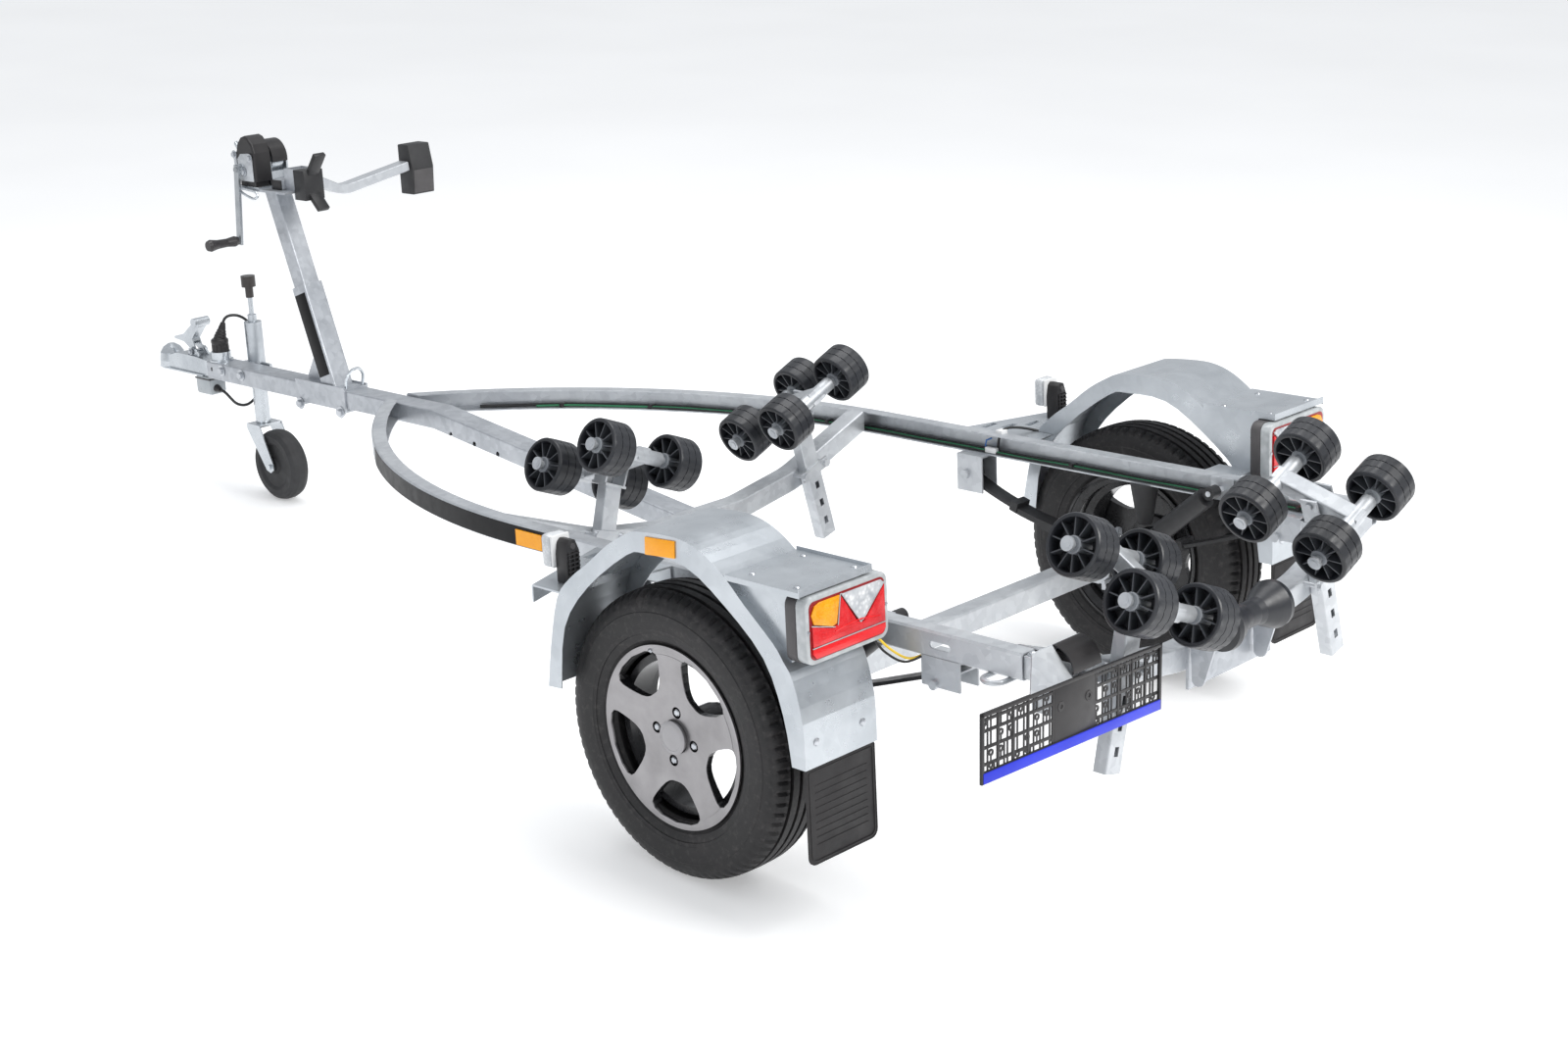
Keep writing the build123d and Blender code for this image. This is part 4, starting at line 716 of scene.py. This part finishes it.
# ---------------------------------------------------------------------- mudflaps
def mudflap(side, name):
    s = side
    B = Build("flap_" + name, "frame", "black_rubber")

    def outline(d, top=45.0):
        pts = []
        y0, y1, z0, z1 = 640.5 + d, 820.5 - d, -139 + d, top - d
        r = 16 - d * 0.5
        for cx, cz, a0 in ((y1 - r, z0 + r, -90), (y1 - 4, z1 - 4, 0), (y0 + 4, z1 - 4, 90), (y0 + r, z0 + r, 180)):
            rr = r if a0 in (-90, 180) else 4
            for k in range(5):
                a = radians(a0 + 90 * k / 4)
                pts.append((s * (cx + rr * cos(a)), cz + rr * sin(a)))
        return pts
    B.prism(outline(0), -389.5, -385.7, "yz", FLAP_MAT, bevel=0.8)
    B.box(-389.0, -385.0, *sorted((s * 642, s * 819)), 40, 96, FLAP_MAT)
    o = outline(7)
    path = [(-389.8, y, z) for y, z in o] + [(-389.8, *o[0])]
    B.tube(path, 1.3, FLAP_MAT, 8, caps=False)
    o = outline(0.8)
    B.tube([(-389.3, y, z) for y, z in o] + [(-389.3, *o[0])], 1.1, FLAP_MAT, 8, caps=False)
    # generic raised ribs in the lower field
    for k in range(9):
        z = 10 - 14 * k
        B.box(-390.3, -389.1, min(s * 664, s * 799), max(s * 664, s * 799), z - 0.8, z + 0.8, FLAP_MAT, bevel=0.4)
    return B


Fl = mudflap(+1, "left"); Fl.done()
Fr = mudflap(-1, "right"); Fr.done(replaces=["mudflaps"])


# ------------------------------------------------------------------ plate holder
def plate_holder():
    B = Build("plate_frame", "frame", "plate_black")
    X, Yc, Zc, roll = -744.0, 515.0, 146.0, radians(2.1)
    T = Matrix.Translation((X, Yc, Zc)) @ Matrix.Rotation(roll, 4, 'X') @ Matrix.Diagonal((1, 506 / 520, 126 / 128, 1))
    # rim, ribs and a lattice with open slots
    B.box(-4.0, 2, -260, 260, 56, 64, BLACK_PLASTIC, T, 1.5)
    B.box(-4.0, 2, -260, -252, -64, 64, BLACK_PLASTIC, T, 1.5)
    B.box(-4.0, 2, 252, 260, -64, 64, BLACK_PLASTIC, T, 1.5)
    B.box(-3.0, 2, -258, 258, -64, -42, BLACK_PLASTIC, T, 1.0)
    B.box(-5.2, -2.8, -256, 256, -63, -43.5, BLUE_PLASTIC, T, 1.0)
    for y in (-212, -171, -130, -60, 60, 130, 171, 212):
        B.box(-1.6, 1.8, y - 3, y + 3, -44, 58, BLACK_PLASTIC, T, 0.5)
    for z in (-30, 0, 30, 50):
        B.box(-1.2, 1.6, -254, 254, z - 3, z + 3, BLACK_PLASTIC, T, 0.5)
    B.box(-2.0, 1.2, -58, 58, -42, 57, BLACK_PLASTIC, T, 0.5)
    k = 0
    for y in range(-246, 250, 9):
        for z0, z1 in ((-42, -27), (-27, 3), (3, 33), (33, 57)):
            k += 1
            if abs(y) < 58:
                continue
            h = (k * 7919) % 11
            if h < 6:
                B.box(-1.0, 1.4, y - 1.3, y + 1.3, z0, z1, BLACK_PLASTIC, T)
            elif h < 8:
                B.lathe([(-1.2, 3.0), (-1.2, 6.5), (1.2, 6.5), (1.2, 3.0)], (0, y, (z0 + z1) / 2), (1, 0, 0), BLACK_PLASTIC, 14, closed=True, xf=T)
                B.box(-1.0, 1.2, y - 1.2, y + 1.2, z0, (z0 + z1) / 2 - 5, BLACK_PLASTIC, T)
    for y in (-40, 40):
        B.lathe([(-3.2, 4), (-3.2, 9), (-1.8, 10), (-1.8, 4)], (0, y, 20), (1, 0, 0), BLACK_PLASTIC, 20, closed=True, xf=T)
    # light steel bracket: upright sheet on the rail end, webs to the holder, sloping cover sheet
    B.box(-703, -700, 441, 576, 150, 260, GALV_LIGHT, None, 0.8)
    B.box(-700, -680.2, 545, 571, 208, 250, GALV_LIGHT, None, 0.8)
    for y in (446, 566):
        B.box(-742.6, -703, y, y + 4, 152, 196, GALV_LIGHT, None, 0.8)
    cover = [(-703.5, 520.5, 260), (-703.5, 576, 259), (-746.5, 636, 214), (-746.5, 520.5, 210)]
    B.raw(cover + [(x + 2.0, y, z - 2.0) for x, y, z in cover], [(0, 1, 2, 3), (7, 6, 5, 4), (0, 4, 5, 1), (1, 5, 6, 2), (2, 6, 7, 3), (3, 7, 4, 0)], GALV_LIGHT)
    B.hexbolt((-690, 558, 250.1), (0, 0, 1), 10, 5, BOLT)
    B.done(replaces=["plate_holder"])


plate_holder()


# ------------------------------------------------------- stripe, reflectors, sticker
def rail_point(s_len, off, z):
    """Point on the left rail's outer face: s_len from X=640 forward along the arc (negative: back along the straight)."""
    if s_len <= 0:
        return Vector((640 + s_len, 575 + off, z))
    a = s_len / 1550.0
    return Vector((640 + (1550 + off) * sin(a), -975 + (1550 + off) * cos(a), z))


def strip(B, s0, s1, z0, z1, off, m, n=40, thick=0.5):
    mi = B.mat(m)
    rows = []
    for k in range(n + 1):
        L = s0 + (s1 - s0) * k / n
        rows.append([B.bm.verts.new(rail_point(L, o, z)) for o, z in ((0.05, z0), (off, z0 + 0.3), (off, z1 - 0.3), (0.05, z1))])
    for A, C in zip(rows[:-1], rows[1:]):
        for i in range(3):
            B.bm.faces.new([A[i], C[i], C[i + 1], A[i + 1]]).material_index = mi
    B.bm.faces.new(rows[0]).material_index = mi
    B.bm.faces.new(rows[-1][::-1]).material_index = mi


S = Build("rail_stripe", "frame", "black_plastic")
strip(S, -75, 850, 207.5, 250.5, 0.6, STICKER, 60)
S.done()
S = Build("amber_reflectors", "frame", "lamp_red")
strip(S, -60, 22, 209.5, 243.5, 3.2, AMBER_FLAT, 4)
for s in (1, -1):
    ys = sorted((s * 823.1, s * 826.0))
    S.prism([(-12, 375), (-90, 381), (-92, 414), (-14, 409)], ys[0] if s > 0 else ys[0], ys[1], "xz", AMBER_FLAT, bevel=0.8)
S.done()

LEAN = radians(19.9)
AL = Vector((sin(LEAN), 0, cos(LEAN)))
ACROSS = Vector((cos(LEAN), 0, -sin(LEAN)))


def post_frame(z):
    o = Vector((2069.0 + (z - 247.5) * math.tan(LEAN), 0, z))
    m = Matrix((ACROSS, Vector((0, 1, 0)), AL)).transposed().to_4x4()
    m.translation = o
    return m


S = Build("post_sticker", "frame", "black_plastic")
T = post_frame(380)
S.box(-24, 24, 30.0, 30.5, -110, 112, STICKER, T, 0.2)
S.done()


# ------------------------------------------------------------- bolts and fittings
F = Build("frame_bolts", "frame", "zinc_bright")
for x, z in ((2560, 230), (2467, 229)):
    for s in (1, -1):
        F.hexbolt((x, s * 33.1, z), (0, s, 0), 17, 8, BOLT)
# black disc on the drawbar side: painted shade for the inside of a hole
F.lathe([(0, 0), (0, 4), (-0.5, 0)], (2610, 33.2, 226), (0, 1, 0), HOLE_SHADE, 16)
for x, z in ((2189, 190.5), (2012, 190.0)):
    for s in (1, -1):
        F.hexbolt((x, s * 38.1, z), (0, s, 0), 17, 9, BOLT)
# mudguard bolts: on the step plate, on the rear panel, on the outer flange
for s in (1, -1):
    for x, y in ((-250, 660), (-250, 790), (-370, 655), (-368, 800)):
        F.lathe([(0, 0), (0, 7), (2.2, 5.6), (3.2, 2.5), (3.4, 0)], (x, s * y, 374.1), (0, 0, 1), BOLT, 16)
    for y in (672, 792):
        F.lathe([(0, 0), (0, 7.5), (2.4, 6), (3.4, 2.5), (3.6, 0)], (-392.6, s * y, 92), (-1, 0, 0), BOLT, 16)
    for x, z in ((-332, 255), (150, 250)):
        F.lathe([(0, 0), (0, 6), (2.2, 5), (3.0, 0)], (x, s * 806.1, z) if x < 0 else (x, s * 638.2, 300), (0, s, 0), BOLT, 16)
# coupling pin heads
for s in (1, -1):
    F.hexbolt((2722, s * 23.0, 262), (0, s, 0), 10, 4, BOLT)
F.done()

# safety-wire loop hanging by the left rail's nose, and the lashing loop behind the sleeve's foot
L = Build("loops", "frame", "zinc_bright")
L.tube(smooth_path([(1841, 37, 206), (1834, 38, 184), (1828, 40, 156), (1832, 41, 130), (1842, 41, 130), (1848, 40, 156), (1845, 38, 184), (1842, 37, 204)]), 2.0, ZINC, 8)
L.tube(smooth_path([(1996, 26, 254), (1989, 26, 282), (1984, 14, 299), (1982, 0, 303), (1984, -14, 299), (1989, -26, 282), (1996, -26, 254)]), 4.0, ZINC, 10)
L.done()

# wires: harness along the right rail, clips, connector, ties
W = Build("harness_cables", "frame", "cable")


def right_rail(L, off, z):
    p = rail_point(L, -off, z)
    return Vector((p.x, -p.y, p.z))


def harness(off, z, r, m, s0, s1, wob):
    pts = []
    n = 130
    for k in range(n + 1):
        L = s0 + (s1 - s0) * k / n
        pts.append(right_rail(L, off + wob * sin(L * 0.013) * 0.6, z + abs(wob) * 0.3 * (1 + sin(L * 0.021 + 1.0))))
    W.tube(pts, r, m, 10)


harness(14.0, 211.2, 4.0, CABLE_BLACK, -1300, 1150, 2.0)
harness(23.0, 210.2, 2.6, CABLE_GREEN, -1300, 1000, 2.5)
harness(27.5, 209.6, 1.8, CABLE_BLACK, -1300, 700, 1.5)
for L in (930, 690, 450, 180, -1150, -560):
    p = right_rail(L, 20, 214)
    W.box(p.x - 5, p.x + 5, p.y - 12, p.y + 10, 207.5, 217, BLACK_PLASTIC, None, 1.5)
p = right_rail(-330, 22, 214)
W.box(p.x - 16, p.x + 16, p.y - 3, p.y + 9, 208, 221, WHITE_PLASTIC, None, 2)
W.tube([(330, -566, 212), (330, -552, 222), (330, -556, 234), (322, -566, 238)], 2.2, BLUE_TIE, 8)
W.tube(smooth_path([(300, -560, 214), (296, -562, 245), (290, -575, 262), (280, -600, 262), (262, -625, 256), (240, -640, 250)]), 3.2, CABLE_BLACK, 8)
W.box(284, 304, -578, -556, 250, 262, WHITE_PLASTIC, None, 2.5)
# yellow and black wires from the left rail end to the left tail lamp
W.tube(smooth_path([(-450, 560, 203), (-430, 586, 196), (-405, 604, 212), (-392, 622, 236)]), 2.4, CABLE_YELLOW, 8)
W.tube(smooth_path([(-452, 566, 202), (-425, 592, 190), (-398, 612, 208), (-388, 630, 236)]), 2.4, CABLE_BLACK, 8)
W.done(replaces=["wiring_harness"])


# ------------------------------------------------------------------------- winch
G = Build("winch_details", "frame", "zinc_bright")
# steel stand plate on the gear cover's face with two bolts
G.prism([(2262, 776), (2326, 776), (2326, 832), (2312, 846), (2276, 849), (2262, 836)], 60.4, 62.8, "xz", GALV_LIGHT, bevel=0.6)
G.hexbolt((2270, 63, 838), (0, 1, 0), 12, 5, BOLT)
G.hexbolt((2302, 63, 800), (0, 1, 0), 14, 5, BOLT)
# ratchet pawl and its spring in front
G.prism([(2330, 842), (2352, 868), (2346, 876), (2322, 852)], 44, 52, "xz", ZINC, bevel=1)
G.prism([(2336, 790), (2348, 792), (2352, 846), (2338, 850)], 34, 58, "xz", GALV_LIGHT, bevel=1)
G.hexbolt((2344, 58, 842), (0, 1, 0), 12, 6, BOLT)
G.lathe([(0, 0), (0, 13), (3, 14), (7, 14), (9, 9), (9, 0)], (2318, 60.4, 806), (0, 1, 0), ZINC, 28)
G.done()
# webbing end and snap hook below the head plate
H = Build("snap_hook", "frame", "zinc_bright")
path = smooth_path([(2326, 66, 750), (2300, 68, 741), (2262, 68, 733), (2244, 68, 741), (2252, 68, 752), (2280, 68, 755), (2318, 67, 757), (2330, 66, 752)], 8)
H.tube(path, 3.6, ZINC, 10)
H.tube(smooth_path([(2330, 66, 752), (2338, 65, 757), (2342, 63, 750), (2334, 64, 744), (2326, 66, 749)]), 3.0, ZINC, 10)
H.box(2296, 2330, 61.5, 70, 753.0, 758, GALV_LIGHT, None, 1.0)
H.done()

# side guide pad, with a lighter grey strip on its lower face as painted light and sheen where that face catches the
# light, and the black cap of the side arm
K = Build("guide_pad", "frame", "black_rubber")
K.prism([(2163, 757), (2176, 819), (2221, 819), (2221, 686), (2168, 686)], -448, -376, "xz", RUBBER, bevel=2.5)
# lighter grey strip: painted light and sheen on the pad's lower face
K.prism([(2161.6, 752), (2166.2, 690), (2168.4, 690), (2164.2, 752)], -444, -380, "xz", GREY_HOUSING, bevel=0.4)
K.done(replaces=["side_arm_pad"])
V = Build("bow_stop_bars", "frame", "black_steel")
V.box(2084, 2130.6, -30, 30, 735, 812, BLACK_STEEL, None, 2.0)
for qx, qz in ((2048.0, 854.0), (2052.0, 712.0)):
    a, b = Vector((2112, 0, 773)), Vector((qx, 0, qz))
    d = (b - a).normalized()
    rot = Matrix((d, Vector((0, 1, 0)), d.cross(Vector((0, 1, 0))))).transposed().to_4x4()
    rot.translation = a
    V.box(0, (b - a).length, -17, 17, -6, 6, BLACK_STEEL, rot, 1.5)
V.done(replaces=["bow_stop"])
K = Build("arm_cap", "frame", "black_plastic")
K.box(2172.5, 2214.5, 38.1, 41.5, 758.5, 783, BLACK_PLASTIC, None, 1.5)
K.done()


# ------------------------------------------------------- coupling and free leads
def nurbs(name, pts, r, m, body):
    cu = bpy.data.curves.new(name, 'CURVE')
    cu.dimensions = '3D'
    sp = cu.splines.new('NURBS')
    sp.points.add(len(pts) - 1)
    for i, p in enumerate(pts):
        q = M @ Vector(p)
        sp.points[i].co = (q.x, q.y, q.z, 1)
        sp.points[i].radius = r / 1000.0
    sp.order_u = 3
    sp.use_endpoint_u = True
    sp.resolution_u = 16
    cu.bevel_depth = 1.0
    cu.bevel_resolution = 4
    cu.use_fill_caps = True
    cu.materials.append(m)
    ob = bpy.data.objects.new(name, cu)
    scene.collection.objects.link(ob)
    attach(ob, body)
    return ob


def curve_length(ob):
    cu = ob.data
    d = cu.bevel_depth
    cu.bevel_depth = 0.0
    me = bpy.data.meshes.new_from_object(ob)
    cu.bevel_depth = d
    vs = [v.co.copy() for v in me.vertices]
    L = sum((a - b).length for a, b in zip(vs[:-1], vs[1:]))
    bpy.data.meshes.remove(me)
    return L


BOOT = Vector((-0.08, -0.30, 0.95)).normalized()
TIP = Vector((2606, 0, 304.0)) + BOOT * 50
UP_END = TIP + BOOT * 18
DN_END = Vector((2614, 8, 163)) + Vector((-20.5, 0, -3)).normalized() * 18
LEAD_UP = [(2588, -37.5, 226), (2588, -60, 226), (2585, -84, 240), (2582, -96, 272), (2580, -97, 310), (2581, -84, 344),
           (2588, -56, 368), tuple(UP_END), tuple(TIP)]
LEAD_DN = [(2596, -37.5, 212), (2596, -60, 212), (2593, -86, 197), (2589, -97, 162), (2587, -86, 127), (2586, -54, 110),
           (2583, -18, 120), (2583, 3, 146), tuple(DN_END), (2614, 8, 163)]
up = nurbs("lead_to_plug", LEAD_UP, 4.0, CABLE_BLACK, "frame")
dn = nurbs("lead_to_socket", LEAD_DN, 4.0, CABLE_BLACK, "frame")
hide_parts("plug_lead")
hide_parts("socket_lead")

PG = Build("plug_shell", "frame", "black_plastic")
o = (2606, 0, 248.0)
PG.lathe([(0, 0), (0, 21), (1, 22), (46, 22), (48, 23.4), (52, 24), (57, 24), (60, 22), (62, 19), (63, 0)], o, (0, 0, 1), BLACK_PLASTIC, 36)
for k in range(12):
    w = 2 * pi * k / 12
    PG.cyl((2606 + 22 * cos(w), 22 * sin(w), 252), (2606 + 22 * cos(w), 22 * sin(w), 294), 1.4, BLACK_PLASTIC, 8)
bb = Vector((2606, 0, 304.0))
PG.lathe([(-2, 0), (-1, 18), (5, 18), (7, 16.2), (9, 17.2), (13, 16.6), (15, 14.6), (17, 15.6), (21, 14.6), (23, 12.4), (25, 13.2), (29, 12),
          (31, 10.2), (34, 10.6), (44, 8), (50, 6.8), (50, 0)], bb, BOOT, BLACK_PLASTIC, 28)
plug = PG.done(replaces=["plug"])
SB = Build("socket_shell", "frame", "grey_plastic")
SB.box(2634.5, 2705.5, -25.5, 29.5, 147, 200.4, GREY_PLASTIC, None, 9)
SB.box(2633.8, 2706, -26, 30, 190, 194, GREY_HOUSING, None, 1.2)
SB.lathe([(0, 10.5), (4, 10.5), (6, 9), (14, 8), (20, 6), (20.6, 0)], (2635, 8, 166), (-20.5, 0, -3), BLACK_PLASTIC, 24)
sock = SB.done(replaces=["socket_box"])
Lu, Ld = curve_length(up), curve_length(dn)
print("lead lengths", Lu, Ld)


# --------------------------------------------------------- floor, light, backdrop
def floor():
    me = bpy.data.meshes.new("floor")
    s = 30.0
    me.from_pydata([(-s, -s, -0.0005), (s, -s, -0.0005), (s, s, -0.0005), (-s, s, -0.0005)], [], [(0, 1, 2, 3)])
    ob = bpy.data.objects.new("floor", me)
    m, nt, b = new_mat("floor_pale")
    n = noise(nt, 0.8, 2.0)
    nt.links.new(ramp(nt, n.outputs["Fac"], [(0.3, (0.86, 0.86, 0.86)), (0.7, (0.90, 0.90, 0.90))]), b.inputs["Base Color"])
    b.inputs["Roughness"].default_value = 0.8
    b.inputs["Specular IOR Level"].default_value = 0.1
    b.inputs["Emission Color"].default_value = (1, 1, 1, 1)
    b.inputs["Emission Strength"].default_value = 0.32
    me.materials.append(m)
    scene.collection.objects.link(ob)


floor()
world = bpy.data.worlds.new("studio")
scene.world = world
world.use_nodes = True
wn = world.node_tree
bg = wn.nodes["Background"]
bg.inputs["Color"].default_value = (0.93, 0.96, 1.0, 1)
bg.inputs["Strength"].default_value = 0.62
white = wn.nodes.new("ShaderNodeBackground")
white.inputs["Color"].default_value = (1, 1, 1, 1)
white.inputs["Strength"].default_value = 1.0
path = wn.nodes.new("ShaderNodeLightPath")
mx = wn.nodes.new("ShaderNodeMixShader")
wn.links.new(path.outputs["Is Camera Ray"], mx.inputs["Fac"])
wn.links.new(bg.outputs["Background"], mx.inputs[1])
wn.links.new(white.outputs["Background"], mx.inputs[2])
wn.links.new(mx.outputs["Shader"], wn.nodes["World Output"].inputs["Surface"])


def area(name, loc, target, size, power, color=(1, 1, 1)):
    li = bpy.data.lights.new(name, 'AREA')
    li.shape = 'RECTANGLE'
    li.size, li.size_y = size
    li.energy = power
    li.color = color
    ob = bpy.data.objects.new(name, li)
    ob.location = loc
    d = Vector(target) - Vector(loc)
    ob.rotation_euler = d.to_track_quat('-Z', 'Y').to_euler()
    scene.collection.objects.link(ob)


area("key", (-5.0, -0.6, 4.2), (0, 0, 0.4), (2.6, 2.6), 230, (1.0, 0.99, 0.97))
area("fill", (-1.0, 5.5, 2.0), (0, 0, 0.4), (3.5, 1.6), 30, (0.93, 0.96, 1.0))
area("top", (0.5, -0.6, 5.2), (0, 0, 0.3), (4.5, 2.5), 120)
scene.view_settings.view_transform = 'Standard'
scene.view_settings.exposure = 0.0

bpy.context.view_layer.update()
